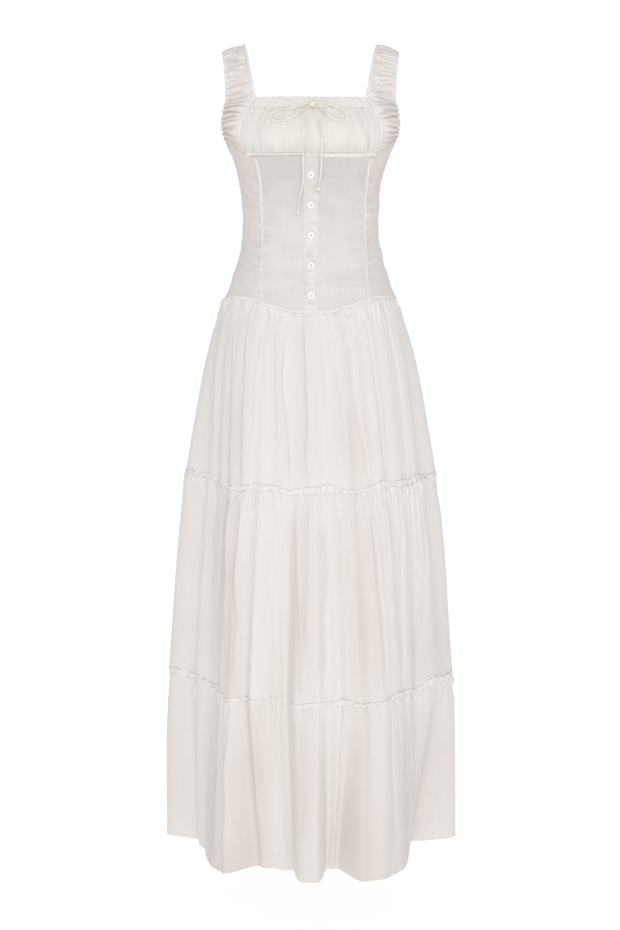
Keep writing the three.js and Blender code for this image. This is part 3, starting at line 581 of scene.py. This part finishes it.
def panel_place(left, right, top, wide, tall, relief):
    def place(u, v):
        z = np.full_like(u, -300.0)
        for _ in range(6):
            angle = left(z) + gap_angle(z) + (right(z) - left(z) - 2 * gap_angle(z)) * u
            start = top(angle)
            z = start + (waist_z(angle) + 0.3 - start) * v
        # Painted shade: cloth that lies in a valley, and the cloth below the bust, is coloured a little
        # darker.
        out = relief(u, v, angle, z) * fade(v, 0, 0.03) * (1 - fade(v, 0.93, 0.99))
        below_bust = mound(v, 0, 0.4) * np.clip(0.45 + 0.55 * np.cos(np.radians(angle)), 0, 1)
        shade = 0.12 * (0.8 - out) + below_bust
        return on_form(angle, z, out), np.stack([u * wide, v * tall], axis=1), np.clip(shade, 0, 1)

    return place


def front_relief(seed, seam_at):
    def relief(u, v, angle, z):
        near = np.exp(-np.abs(u - seam_at) * 7)
        rim = rise(u, 14)
        drag = near * np.sin(2 * np.pi * (z / 14 + 0.7 * rumple(z / 20, u * 2, seed)))
        return rim * (1.2 * drag + 1.5 * rumple(z / 15, u * 1.8, seed + 1)
                      + 0.9 * rumple(z / 40 + u * 1.5, u * 4, seed + 2)
                      + 0.5 * rumple(z / 6, u * 3, seed + 3))

    return relief


def under_bust(angle):
    return np.full_like(angle, UNDERBUST_Z + 0.55)


fronts = [
    ("right", lambda z: princess_angle(1, z), lambda z: placket_angle(-0.85, z), front_relief(61, 0)),
    ("left", lambda z: placket_angle(0.85, z), lambda z: princess_angle(2, z), front_relief(71, 1)),
]
for side, left, right, relief in fronts:
    front = sewn("bodice_front_" + side, 50, 100,
                 panel_place(left, right, under_bust, 0.085, 0.26, relief), 0.8, body_cotton,
                 "front_" + side)

# The side panels run from the princess seams to the side seams, under the armholes. They are cut of
# the same cotton, and crease where the waist draws in.
STRAP_SEAM_Z = -179
side_cotton = cotton_material("side panel cotton", (0.735, 0.692, 0.667), 0.5)


def side_top(angle):
    front = float(seam_angle(1, STRAP_FOOT_Z))
    t = np.clip((np.abs(angle) - front) / (UNDERARM_ANGLE - front), 0, 1)
    return STRAP_FOOT_Z + (UNDERARM_Z - STRAP_FOOT_Z) * t - 0.15


def side_relief(sign, seed):
    def relief(u, v, angle, z):
        from_front = u if sign > 0 else 1 - u
        rim = rise(u, 14) * np.minimum(1, 20 * v)
        # Creases fan down and back from the princess seam where the waist draws in.
        fan = np.exp(-from_front * 2.6) * fade(v, 0.08, 0.25) * (1 - fade(v, 0.7, 0.95))
        drag = np.sin(2 * np.pi * (z / 17 - from_front * 1.6 + 0.6 * rumple(z / 30, from_front * 2, seed)))
        return rim * (2.7 * fan * drag + 1.7 * rumple(z / 20 - from_front * 2, from_front * 2, seed + 1)
                      + 0.5 * rumple(z / 8, from_front * 4, seed + 2))

    return relief


sides = [
    ("right", lambda z: np.full_like(z, -SIDE_SEAM),
     lambda z: np.where(z > STRAP_SEAM_Z, seam_angle(-1, z), princess_angle(1, z)), side_relief(-1, 81)),
    ("left", lambda z: np.where(z > STRAP_SEAM_Z, seam_angle(1, z), princess_angle(2, z)),
     lambda z: np.full_like(z, SIDE_SEAM), side_relief(1, 91)),
]
for side, left, right, relief in sides:
    panel = sewn("bodice_side_" + side, 50, 100,
                 panel_place(left, right, side_top, 0.1, 0.28, relief), 0.8, side_cotton, "side_" + side)


# The back is one plain panel of the same cotton, sewn in at the side seams. Its top edge is turned in,
# and rises from the underarms to the straps.
STRAP_END_X = 133.0


def back_top(angle):
    strap = float(angle_at(STRAP_END_X, float(BACK_NECK_Z), behind=True))
    away = np.where(angle > 180, 360 - angle, angle)
    t = np.clip((strap - away) / (strap - SIDE_SEAM), 0, 1)
    return BACK_NECK_Z + (UNDERARM_Z - BACK_NECK_Z) * t * t * (3 - 2 * t) - 0.3


def back_relief(u, v, angle, z):
    rim = rise(u, 20) * np.minimum(1, 20 * v)
    turned = 0.7 * (1 - fade(v, 0.02, 0.035))
    waist = mound(z, -290, 50) * np.sin(2 * np.pi * (z / 24 + 0.8 * rumple(z / 40, u * 5, 101)))
    chance = rumple(z / 30, u * 7, 102) + 0.35 * rumple(z / 9, u * 18, 103)
    return rim * (0.9 * waist + chance) + turned


back = sewn("bodice_back", 110, 90, panel_place(
    lambda z: np.full_like(z, SIDE_SEAM), lambda z: np.full_like(z, 360 - SIDE_SEAM), back_top, 0.36, 0.28,
    back_relief), 0.8, body_cotton, "back_panel")


# Over each princess seam lies its raised, puckered seam allowance, turned together and topstitched
# down along both edges.
RIDGE_TOP_Z, RIDGE_LENGTH, RIDGE_HALF = -184, 239, 3.1


def seam_ridge(side, seed):
    def place(u, v):
        z = RIDGE_TOP_Z - RIDGE_LENGTH * v
        middle = princess_angle(side, z)
        pucker = np.sin(2 * np.pi * (z / 5.2 + 0.6 * rumple(z / 9, 0, seed)))
        width = RIDGE_HALF * (1 + 0.12 * rumple(z / 6, 0, seed + 1))
        angle = middle + np.degrees(width * (2 * u - 1) / form_radius(middle, z))
        arch = 1 - (2 * u - 1) ** 2
        groove = mound(np.abs(2 * u - 1), 0.62, 0.14)
        out = 0.05 + arch * (1.0 + 0.45 * pucker + 0.5 * rumple(z / 3.4, u * 3, seed + 2)) - 0.2 * groove
        return on_form(angle, z, out), np.stack([u * 0.006, v * 0.24], axis=1)

    return place


# Its cotton is coloured a little lighter than the bodice: painted light on the raised ridge.
seam_cotton = cotton_material("princess seam cotton", (0.757, 0.724, 0.692), 0.8)
for name, side, seed in (("princess_seam_right", 1, 111), ("princess_seam_left", 2, 121)):
    ridge = sewn("raised_" + name, 10, 230, seam_ridge(side, seed), 0.6, seam_cotton, name)


# The placket is a doubled strip of the same cotton down the centre front, stitched along both edges
# and slightly crumpled between its buttons.
BUTTON_TOP_Z, BUTTON_PITCH, BUTTONS = -212, 50.6, 5


def placket_place(u, v):
    top, foot = BUST_HEM_Z - 0.6, WAIST_SIDE_Z - WAIST_POINT + 0.5
    z = top + (foot - top) * v
    left, right = placket_angle(-1, z) + gap_angle(z), placket_angle(1, z) - gap_angle(z)
    angle = left + (right - left) * u
    over_band = 1 - fade(-z, 181, 187)
    rim = rise(u, 7)
    stitched = mound(np.minimum(u, 1 - u), 0.1, 0.03)
    between = 0.5 - 0.5 * np.cos(2 * np.pi * (z - BUTTON_TOP_Z) / BUTTON_PITCH)
    crumple = 1.8 * rumple(z / 7 + u, u * 2, 131) + 1.1 * rumple(z / 4, u * 3, 132)
    crumple *= 0.35 + 0.65 * between
    out = 0.1 + PLACKET_OUT * rim + (1.6 + rim) * over_band - 0.3 * stitched + rim * crumple
    # Painted shade: darker towards the top, under the bust, and in the hollows of the crumples.
    shade = 0.15 + 0.35 * (1 - fade(v, 0.1, 0.6)) - 0.22 * crumple
    return on_form(angle, z, out), np.stack([u * 0.026, v * 0.28], axis=1), np.clip(shade, 0, 1)


placket_cotton = cotton_material("placket cotton", (0.765, 0.73, 0.703), 0.8, (0.84, 0.82, 0.82))
placket = sewn("button_placket", 28, 200, placket_place, 1.2, placket_cotton, "placket")

# The buttons are small four-hole shell buttons, turned with a raised rim and a dished middle, and sewn
# on with white thread.
pearl, tree, shader = new_material("pearl shell", (0.88, 0.88, 0.88), 0.16)
shader.inputs["Coat Weight"].default_value = 0.6
shader.inputs["Coat Roughness"].default_value = 0.08
place_on = tree.nodes.new("ShaderNodeTexCoord")
clouds = node(tree, "ShaderNodeTexNoise", Scale=420.0, Detail=2.0, Distortion=1.2)
tree.links.new(place_on.outputs["Object"], clouds.inputs["Vector"])
lustre = tree.nodes.new("ShaderNodeValToRGB")
lustre.color_ramp.elements[0].color = (0.79, 0.79, 0.83, 1)
lustre.color_ramp.elements[1].color = (0.89, 0.89, 0.9, 1)
tree.links.new(clouds.outputs["Fac"], lustre.inputs["Fac"])
tree.links.new(lustre.outputs["Color"], shader.inputs["Base Color"])
# The middle of the dish is coloured greyer than the shell: painted shade in the hollow.
dish_shade, _, _ = new_material("button dish painted shade", (0.72, 0.71, 0.73), 0.3)
sewing_thread, _, _ = new_material("white sewing thread", (0.8, 0.79, 0.77), 0.7)

# The turned outline from the dish over the rim to the foot: radius and height.
RIM = [(3.2, 1.35), (3.7, 1.75), (4.4, 2.1), (5.5, 2.1), (6.1, 1.75), (6.35, 1.2), (6.2, 0.6), (5.6, 0.2)]
HOLE_RADIUS, HOLE_SPACING, THREAD_RADIUS, STANDS_OFF = 0.62, 1.15, 0.2, 0.75
LYING = Matrix.Rotation(math.pi / 2, 3, "X")
THREAD, DISH = 1, 2


def make_button(name, z):
    disc = bmesh.new()

    def ring(x, y, radius, height, count):
        made = bmesh.ops.create_circle(disc, segments=count, radius=radius)["verts"]
        bmesh.ops.translate(disc, verts=made, vec=(x, y, height))
        return list(dict.fromkeys(e for v in made for e in v.link_edges))

    def lift(edges, radius, height):
        out = bmesh.ops.extrude_edge_only(disc, edges=edges)["geom"]
        for vertex in (g for g in out if isinstance(g, bmesh.types.BMVert)):
            flat = vertex.co.xy.normalized() * radius if radius else vertex.co.xy
            vertex.co = (flat.x, flat.y, height)
        return [g for g in out if isinstance(g, bmesh.types.BMEdge)]

    holes = [ring(x * HOLE_SPACING, y * HOLE_SPACING, HOLE_RADIUS, RIM[0][1], 12)
             for x, y in ((1, 1), (-1, 1), (1, -1), (-1, -1))]
    dish = ring(0, 0, RIM[0][0], RIM[0][1], 40)
    bmesh.ops.triangle_fill(disc, edges=dish + sum(holes, []), use_beauty=True)
    for radius, height in RIM[1:]:
        dish = lift(dish, radius, height)
    feet = []
    for hole in holes:
        feet += lift(hole, None, RIM[-1][1])
    bmesh.ops.triangle_fill(disc, edges=dish + feet, use_beauty=True)
    bmesh.ops.recalc_face_normals(disc, faces=disc.faces)
    shell_faces = len(disc.faces)
    for face in disc.faces:
        if face.normal.z > 0.9 and face.calc_center_median().xy.length < RIM[0][0]:
            face.material_index = DISH
    # Two turns of thread cross the dish from hole to hole.
    for x in (-HOLE_SPACING, HOLE_SPACING):
        for shift in (-0.22, 0.22):
            thread = bmesh.ops.create_cone(disc, cap_ends=True, segments=8, radius1=THREAD_RADIUS,
                                           radius2=THREAD_RADIUS, depth=2 * HOLE_SPACING + 0.8)["verts"]
            bmesh.ops.rotate(disc, verts=thread, matrix=LYING)
            bmesh.ops.translate(disc, verts=thread, vec=(x + shift, 0, RIM[0][1] + THREAD_RADIUS))
    for face in list(disc.faces)[shell_faces:]:
        face.material_index = THREAD
    angle = float(angle_at(PLACKET_X, float(z)))
    foot = on_form(angle, z, PLACKET_OUT)
    tilt = Vector(on_form(angle, z + 2) - on_form(angle, z - 2)).normalized()
    facing = (Vector((0, -1, 0)) + tilt * tilt.y).normalized()
    turn = facing.to_track_quat("Z", "Y").to_matrix()
    bmesh.ops.rotate(disc, verts=disc.verts, matrix=turn)
    bmesh.ops.translate(disc, verts=disc.verts, vec=Vector(foot) + facing * STANDS_OFF)
    bmesh.ops.scale(disc, verts=disc.verts, vec=(0.001, 0.001, 0.001))
    button, mesh = into_piece(disc, "shell_" + name)
    dress_piece(button, pearl, "button", name)
    mesh.materials.append(sewing_thread)
    mesh.materials.append(dish_shade)
    for polygon in mesh.polygons:
        polygon.use_smooth = abs(polygon.normal.dot(facing)) < 0.97


for i in range(BUTTONS):
    make_button(f"button_{i + 1}", BUTTON_TOP_Z - i * BUTTON_PITCH)

# The skirt hangs in three gathered tiers of the same cotton, each sewn to the foot of the one above.
# They fall in folds that run on from tier to tier and deepen towards the hem.

# Each row is a fold: the angle of its valley at the drop waist, the two tier seams and the hem, then
# how far the valley lies inside the form at the last three, and how far the crest after it does.
FOLDS = np.array([
    (-83, -80, -82, -83, 30, 38, 60, 34, 42, 52), (-70, -66, -68, -70, 36, 50, 52, 24, 50, 36),
    (-58, -53, -56, -55, 20, 46, 20, 10, 20, 8), (-47, -43, -46, -44, 9, 10, 1, 4, 2, -2),
    (-37, -33, -35, -35, 5, 12, 48, -1, -5, 46), (-26, -22, -23, -23, 1, 10, 50, -2, 24, 47),
    (-15, -11, -14, -11, -1, 30, 50, -4, -8, 4), (-4, -2, -1, -1, -2, -4, -6, -5, -6, 0),
    (6, 7, 9, 10, -1, 4, 52, -3, -8, 50), (16, 17, 19, 18, -2, -2, 50, -4, -10, -10),
    (27, 26, 29, 27, 0, -8, -16, -3, -13, -20), (37, 36, 40, 38, 0, -4, -12, -1, 2, -2),
    (48, 46, 50, 51, 6, 12, 16, 6, 18, 34), (60, 60, 62, 63, 12, 28, 50, 10, 16, 66),
    (75, 75, 78, 79, 14, 12, 76, 0, 0, 0),
], float)
BACK_SHARE, WAIST_VALLEY, FRONT_DIP = 0.5, 1, 9
TIER_SEAM_1_Z, TIER_SEAM_2_Z, HEM_Z = -735, -1099, -1404
behind = FOLDS.copy()
behind[:, :4] += 180
behind[:, 4:7] = np.maximum(8, FOLDS[:, 4:7]) * BACK_SHARE
behind[:, 7:] = np.maximum(0, FOLDS[:, 7:]) * BACK_SHARE
again = FOLDS[:1].copy()
again[:, :4] += 360
ROUND_FOLDS = np.vstack([FOLDS, behind, again])
FOLD_COUNT = len(ROUND_FOLDS) - 1
# Depth of each valley and of the crest after it, at the waist, the two seams and the hem.
DEPTHS = np.empty((2 * FOLD_COUNT, 4))
DEPTHS[0::2] = np.column_stack([np.full(FOLD_COUNT, WAIST_VALLEY), ROUND_FOLDS[:-1, 4:7]])
DEPTHS[1::2] = np.column_stack([np.zeros(FOLD_COUNT), ROUND_FOLDS[:-1, 7:]])
skirt_cotton = cotton_material("skirt cotton", (0.788, 0.753, 0.725), 0.6, (0.9, 0.866, 0.855))


def level_value(values, at):
    return sum(np.clip(1 - np.abs(at - i), 0, 1) * value for i, value in enumerate(values))


def skirt_point(turn, at, drop=0, out=0):
    # turn goes from 0 to 1 round the skirt, and at from 0 at the waist to 3 at the hem.
    place = turn * FOLD_COUNT
    i = np.clip(np.floor(place).astype(int), 0, FOLD_COUNT - 1)
    t = place - i
    a, b = ROUND_FOLDS[i], ROUND_FOLDS[i + 1]
    angle = level_value([a[:, k] + (b[:, k] - a[:, k]) * t for k in range(4)], at)
    half = np.floor(2 * place).astype(int)
    s = (2 * place - half)[:, None]
    before, here, after, later = (DEPTHS[(half + step) % len(DEPTHS)] for step in (-1, 0, 1, 2))
    curve = here + 0.5 * s * (after - before + s * (2 * before - 5 * here + 4 * after - later
                                                    + s * (3 * (here - after) + later - before)))
    depth = level_value(curve.T, at)
    dip = FRONT_DIP * np.maximum(0, np.cos(np.radians(angle))) ** 2
    z = level_value([waist_z(angle), TIER_SEAM_1_Z - dip, TIER_SEAM_2_Z - dip, HEM_Z - dip], at)
    uneven = 4.2 * rumple(turn * 30, 0, 141, 30) + 1.6 * rumple(turn * 85, 0, 142, 85)
    z = z + level_value([0, 1, 1, 0.35], at) * uneven + drop
    return angle, form_radius(angle, z) - depth + out, z


# The creases that stand out, tier by tier: their angle at the top and at the foot, how far down they
# start and end, and their height. The cloth steps out beside each and falls back slowly.
# The back has the same ones, a little further round than half a turn.
CREASE_REACH, CREASE_EDGE, TO_BACK = 26, 1.7, 184
CREASES = [
    [(-62, -50, 0.05, 1, 4.5), (-49, -40, 0, 1, 4.5), (-38, -36, 0.1, 1, 2), (-27, -19, 0, 0.8, 2.2),
     (-22, -12, 0.1, 1, 3.6), (-5, -2, 0, 1, 4.6), (5, 16, 0.08, 0.6, 2.8), (16, 20.5, 0.2, 0.95, 2.6),
     (25.5, 33.5, 0, 1, 4.2), (45, 44, 0.05, 1, 2.6), (62, 62, 0.1, 0.9, 2.4), (-77, -71, 0.1, 1, 2.6)],
    [(-54, -50.5, 0, 1, 5), (-49, -46, 0, 0.75, 4.2), (-42, -38, 0, 1, 4.6), (-33.5, -34, 0.1, 0.7, 1.4),
     (-22, -19.5, 0.15, 0.9, 1.6), (-9.6, -4, 0.05, 1, 4.8), (-1.8, -1, 0, 0.85, 3.6), (9, 6.4, 0.1, 1, 5),
     (20.3, 20.5, 0.2, 0.9, 1.4), (34.6, 37.6, 0.1, 1, 4.8), (42, 43, 0, 0.5, 2), (52.5, 50.5, 0.1, 1, 2.6),
     (72, 62, 0.15, 1, 2.6), (-68, -66, 0.1, 1, 2.6)],
    [(-48.8, -49, 0, 0.9, 2.6), (-41.9, -42, 0, 0.8, 3), (-25.5, -26, 0, 0.6, 2), (-4.1, -4, 0, 0.9, 3),
     (6, 6, 0.1, 0.9, 2.6), (17, 17, 0, 0.6, 1.6), (38.7, 41.3, 0, 0.9, 3.4), (45.7, 46, 0, 0.5, 2),
     (57, 57, 0.1, 0.9, 2.2), (-62, -63, 0.1, 0.9, 2.2)],
]


def creases(tier, angle, v):
    relief, behind = np.zeros_like(angle), np.zeros_like(angle)
    for half_turn in (0, TO_BACK):
        for top, foot, start, end, height in CREASES[tier]:
            line = half_turn + top + (foot - top) * v + 1.1 * rumple(v * 5, 0, int(200 + top))
            x = ((angle - line + 180) % 360 - 180) * 4
            step = np.exp(-np.maximum(x, 0) / CREASE_REACH) / (1 + np.exp(-x / CREASE_EDGE))
            groove = 0.4 * mound(x, -1.5, 4)
            length = fade(v, start - 0.02, start + 0.16) * (1 - fade(v, end - 0.22, end + 0.03))
            relief += height * (step - groove) * length
            # Painted shade: the cloth on the side of each crease that lies back is darker, fading away from
            # it.
            behind += 0.13 * height * length * np.exp(-np.maximum(-x, 0) / 15) / (1 + np.exp(x / 1.4))
    return relief, behind


def skirt_relief(turn, angle, fall, gathers, seed):
    # fall is the distance in millimetres below the seam that the tier is gathered into. The gathers
    # are bunched more closely at the sides than in the middle.
    bunched = 0.5 + 0.9 * np.abs(np.sin(np.radians(angle))) ** 1.2
    reach = 32 + 26 * rumple(turn * gathers / 3, 0, seed, gathers // 3)
    shift = 0.6 * rumple(turn * gathers / 2, fall / 90, seed + 1, gathers // 2)
    pleat = np.sin(2 * np.pi * (turn * gathers + shift))
    strong = 0.8 + 0.7 * rumple(turn * 31, 0, seed + 2, 31)
    drawn = rumple(turn * gathers / 2, fall / 200, seed + 3, gathers // 2)
    soft = rumple(turn * 24, fall / 300, seed + 4, 24)
    fine = rumple(turn * 210, fall / 60, seed + 5, 210)
    crinkle = rumple(turn * gathers * 1.5, fall / 11, seed + 7, gathers + gathers // 2)
    return (bunched * (1.3 * strong * np.exp(-fall / reach) * pleat + 2.2 * np.exp(-fall / 70) * drawn
                       + 3.2 * np.exp(-fall / 34) * crinkle)
            + 1.4 * fade(fall, 10, 140) * soft + 0.07 * fine)


# Patches of painted shade, darker and a little warmer: angle and share down the tier, then how far
# each way, and how strongly.
SHADES = [
    [(-47, 0.7, 8, 0.5, 0.45), (-3, 0.6, 6, 0.6, 0.35), (20, 0.7, 12, 0.3, 0.2),
     (26, 0.8, 6, 0.4, 0.45)],
    [(-52, 0.5, 11, 0.6, 0.9), (-41, 0.8, 6, 0.4, 0.7), (68, 0.85, 16, 0.3, 0.7), (15, 0.3, 6, 0.2, 0.4),
     (-4, 0.6, 6, 0.6, 0.7), (26, 0.6, 8, 0.6, 1.0)],
    [(-52, 0.7, 16, 0.6, 0.9), (-38, 1.0, 14, 0.3, 0.5), (-30, 0.4, 6, 0.6, 1.0), (-3, 0.4, 5, 0.6, 1.0),
     (-4, 1.08, 30, 0.2, 0.25), (24, 0.6, 7, 0.8, 1.0), (34, 0.9, 7, 0.3, 0.4), (48, 0.7, 10, 0.6, 0.8),
     (74, 0.6, 15, 0.5, 0.85)],
]


def shade_at(tier, angle, v):
    darker = np.zeros_like(angle)
    for half_turn in (0, TO_BACK):
        for middle, level, wide, tall, strength in SHADES[tier]:
            x = ((angle - middle - half_turn + 180) % 360 - 180) / wide
            darker += strength * np.exp(-x ** 2 - ((v - level) / tall) ** 2)
    return np.clip(darker, 0, 1)


FRONT_COLUMNS = 0.6


def spaced(t):
    # Rows lie closer together at both edges of a tier.
    return t - 0.7 * np.sin(2 * np.pi * t) / (2 * np.pi)


def turn_of(u):
    # The front half of the skirt holds more columns than the back.
    behind = 0.5 + (u - FRONT_COLUMNS) / (1 - FRONT_COLUMNS) * 0.5
    return np.where(u < FRONT_COLUMNS, u / FRONT_COLUMNS * 0.5, behind)


def tier_place(tier, height, gathers, seed, wide):
    def place(u, v):
        turn = turn_of(u) % 1.0
        v = spaced(v)
        fall, up = v * height, (1 - v) * height
        drop = np.where(v < 1e-6, -0.15, 0) + np.where(v > 1 - 1e-6, 0.15, 0)
        angle, radius, _ = skirt_point(turn, tier + v)
        beyond, next_radius, _ = skirt_point(turn + 0.0004, tier + v)
        steep = (next_radius - radius) / (radius * np.radians(beyond - angle))
        relief, behind = creases(tier, angle, v)
        out = (skirt_relief(turn, angle, fall, gathers, seed) + relief) / (1 + steep ** 2)
        if tier == 0:
            out = out + 1.5 * np.exp(-fall / 16)
        if tier == 2:
            # The hem is turned up and stitched.
            out = out + 0.5 * (1 - fade(up, 8.5, 9.5)) - 0.5 * mound(up, 9.4, 0.9)
        else:
            out = out * (1 - 0.85 * fade(v, 0.94, 0.97))
        angle, radius, z = skirt_point(turn, tier + v, drop, out * fade(fall, -6, 8))
        # Painted shade: the patches listed above, and the shade beside the creases.
        shade = shade_at(tier, angle, v) * (0.9 + 0.2 * rumple(turn * 40, v * 5, seed + 6, 40)) + behind
        return polar(angle, radius, z), np.stack([u * wide, v * height * 0.001], axis=1), np.clip(shade, 0, 1)

    return place


tiers = [
    ("skirt_tier_1", 312, 100, 151, 1.35, ["waist_seam"]),
    ("skirt_tier_2", 364, 132, 161, 1.75, ["skirt_tier_1"]),
    ("skirt_tier_3", 305, 144, 171, 2.0, ["skirt_tier_2"]),
]
for i, (name, height, gathers, seed, wide, above) in enumerate(tiers):
    tier = sewn("hanging_" + name, 860, 46, tier_place(i, height, gathers, seed, wide), 0.7, skirt_cotton,
                name, round_about=True)


# The heading of each gathered tier stands up from its seam as a small uneven frill, rolled over at
# its foot.
FRILL_TALL = 10
# Its cotton is coloured a little lighter than the skirt: painted light on the standing frill.
frill_cotton = cotton_material("frill cotton", (0.822, 0.782, 0.748), 0.8, (0.84, 0.8, 0.79))


def frill_place(at, waves, seed, wide):
    def place(u, v):
        turn = turn_of(u) % 1.0
        up = 1 - v
        angle, _, _ = skirt_point(turn, np.full_like(u, float(at)))
        lively = 0.6 + 0.4 * rumple(turn * 38, 0, seed + 2, 38) + 0.3 * np.sin(np.radians(angle)) ** 2
        phase = 2 * np.pi * (turn * waves + 1.1 * rumple(turn * waves / 3, 0, seed, waves // 3))
        wave = np.sin(phase) + 0.3 * np.sin(2 * phase + 1)
        tall = FRILL_TALL + 4.5 * rumple(turn * waves / 2, 0, seed + 1, waves // 2)
        crinkle = rumple(turn * 420, up * 2.5, seed + 3, 210)
        out = 0.4 + 0.3 * up + up * lively * (0.4 + 0.9 * wave) + 0.8 * np.sin(np.pi * up) * crinkle
        drop = up * tall - 1.6 * up * wave * lively - 1.6 - 1.4 * (1 - up) * wave * lively
        angle, radius, z = skirt_point(turn, np.full_like(u, float(at)), drop, out)
        lean = 0.45 * up * lively * np.cos(2 * np.pi * turn * waves)
        # Painted shade: darker in the hollows of the waves and the crinkles, more towards the top.
        shade = np.clip(lively * (0.3 - 0.45 * wave) * (0.4 + 0.6 * up) - 0.5 * crinkle, 0, 1)
        return polar(angle + lean, radius, z), np.stack([u * wide, up * 0.008], axis=1), shade

    return place


for name, at, waves, seed, wide in (("tier_frill_1", 1, 99, 181, 1.5), ("tier_frill_2", 2, 111, 191, 1.7)):
    frill = sewn("gathered_" + name, 900, 7, frill_place(at, waves, seed, wide), 0.5, frill_cotton, name,
                 round_about=True)


# A narrow raised seam joins the bodice to the gathers of the first tier. Its allowance is turned up
# and stitched, and puckers a little.
# Its cotton is coloured a little lighter than the cloth around it: painted light on the raised seam.
waist_cotton = cotton_material("waist seam cotton", (0.8, 0.768, 0.735), 0.8)


def waist_place(u, v):
    angle = u * 360
    turn = u % 1.0
    pucker = np.sin(2 * np.pi * (turn * 150 + 0.8 * rumple(turn * 50, 0, 201, 50)))
    z = waist_z(angle) + 4.6 - 6 * v + 0.6 * rumple(turn * 60, 0, 202, 60)
    arch = np.sin(np.pi * v) ** 0.7
    out = 0.15 + 0.5 * v + arch * (0.6 + 0.25 * pucker + 0.4 * rumple(turn * 200, v * 2, 203, 200))
    return on_form(angle, z, out), np.stack([u * 0.9, v * 0.006], axis=1)


waist_seam = sewn("puckered_waist_seam", 600, 6, waist_place, 0.7, waist_cotton, "waist_seam",
                  round_about=True)

# The studio is white: a pale floor, an even white surround, a broad soft light above in front, a
# weaker one low down that reaches into the folds of the lower tiers, and one behind.
floor_sheet = bmesh.new()
bmesh.ops.create_circle(floor_sheet, cap_ends=True, segments=64, radius=14)
bmesh.ops.translate(floor_sheet, verts=floor_sheet.verts, vec=(0, 0, -1.53))
floor, _ = into_piece(floor_sheet, "studio_floor")
floor_white, tree, shader = new_material("white studio floor", (0.14, 0.14, 0.14), 1.0)
shader.inputs["Specular IOR Level"].default_value = 0
shader.inputs["Emission Color"].default_value = (1, 1, 1, 1)
shader.inputs["Emission Strength"].default_value = 0.92
floor.data.materials.append(floor_white)

# The surround is white to the eye, and lights the dress a little less strongly than it shows.
world = bpy.data.worlds.new("white surround")
world.use_nodes = True
tree = world.node_tree
background = tree.nodes["Background"]
background.inputs["Color"].default_value = (1, 1, 1, 1)
seen = tree.nodes.new("ShaderNodeLightPath")
level = node(tree, "ShaderNodeMapRange")
level.inputs["To Min"].default_value = 0.62
level.inputs["To Max"].default_value = 1.0
tree.links.new(seen.outputs["Is Camera Ray"], level.inputs["Value"])
tree.links.new(level.outputs["Result"], background.inputs["Strength"])
bpy.context.scene.world = world


def soft_light(name, size, watts, place, target=(0, 0, -0.7)):
    lamp = bpy.data.objects.new(name, bpy.data.lights.new(name, "AREA"))
    bpy.context.collection.objects.link(lamp)
    lamp.data.size = size
    lamp.data.energy = watts
    lamp.location = place
    lamp.rotation_euler = (Vector(target) - Vector(place)).to_track_quat("-Z", "Y").to_euler()


soft_light("broad soft light", 2.0, 38, (0.1, -3.3, 0.8))
soft_light("low fill light", 1.8, 10, (0.1, -2.9, -1.2), (0, 0, -1.2))
soft_light("light behind", 2.4, 26, (0, 3.2, 0.6))
bpy.context.scene.view_settings.view_transform = "Standard"
bpy.context.scene.view_settings.look = "None"
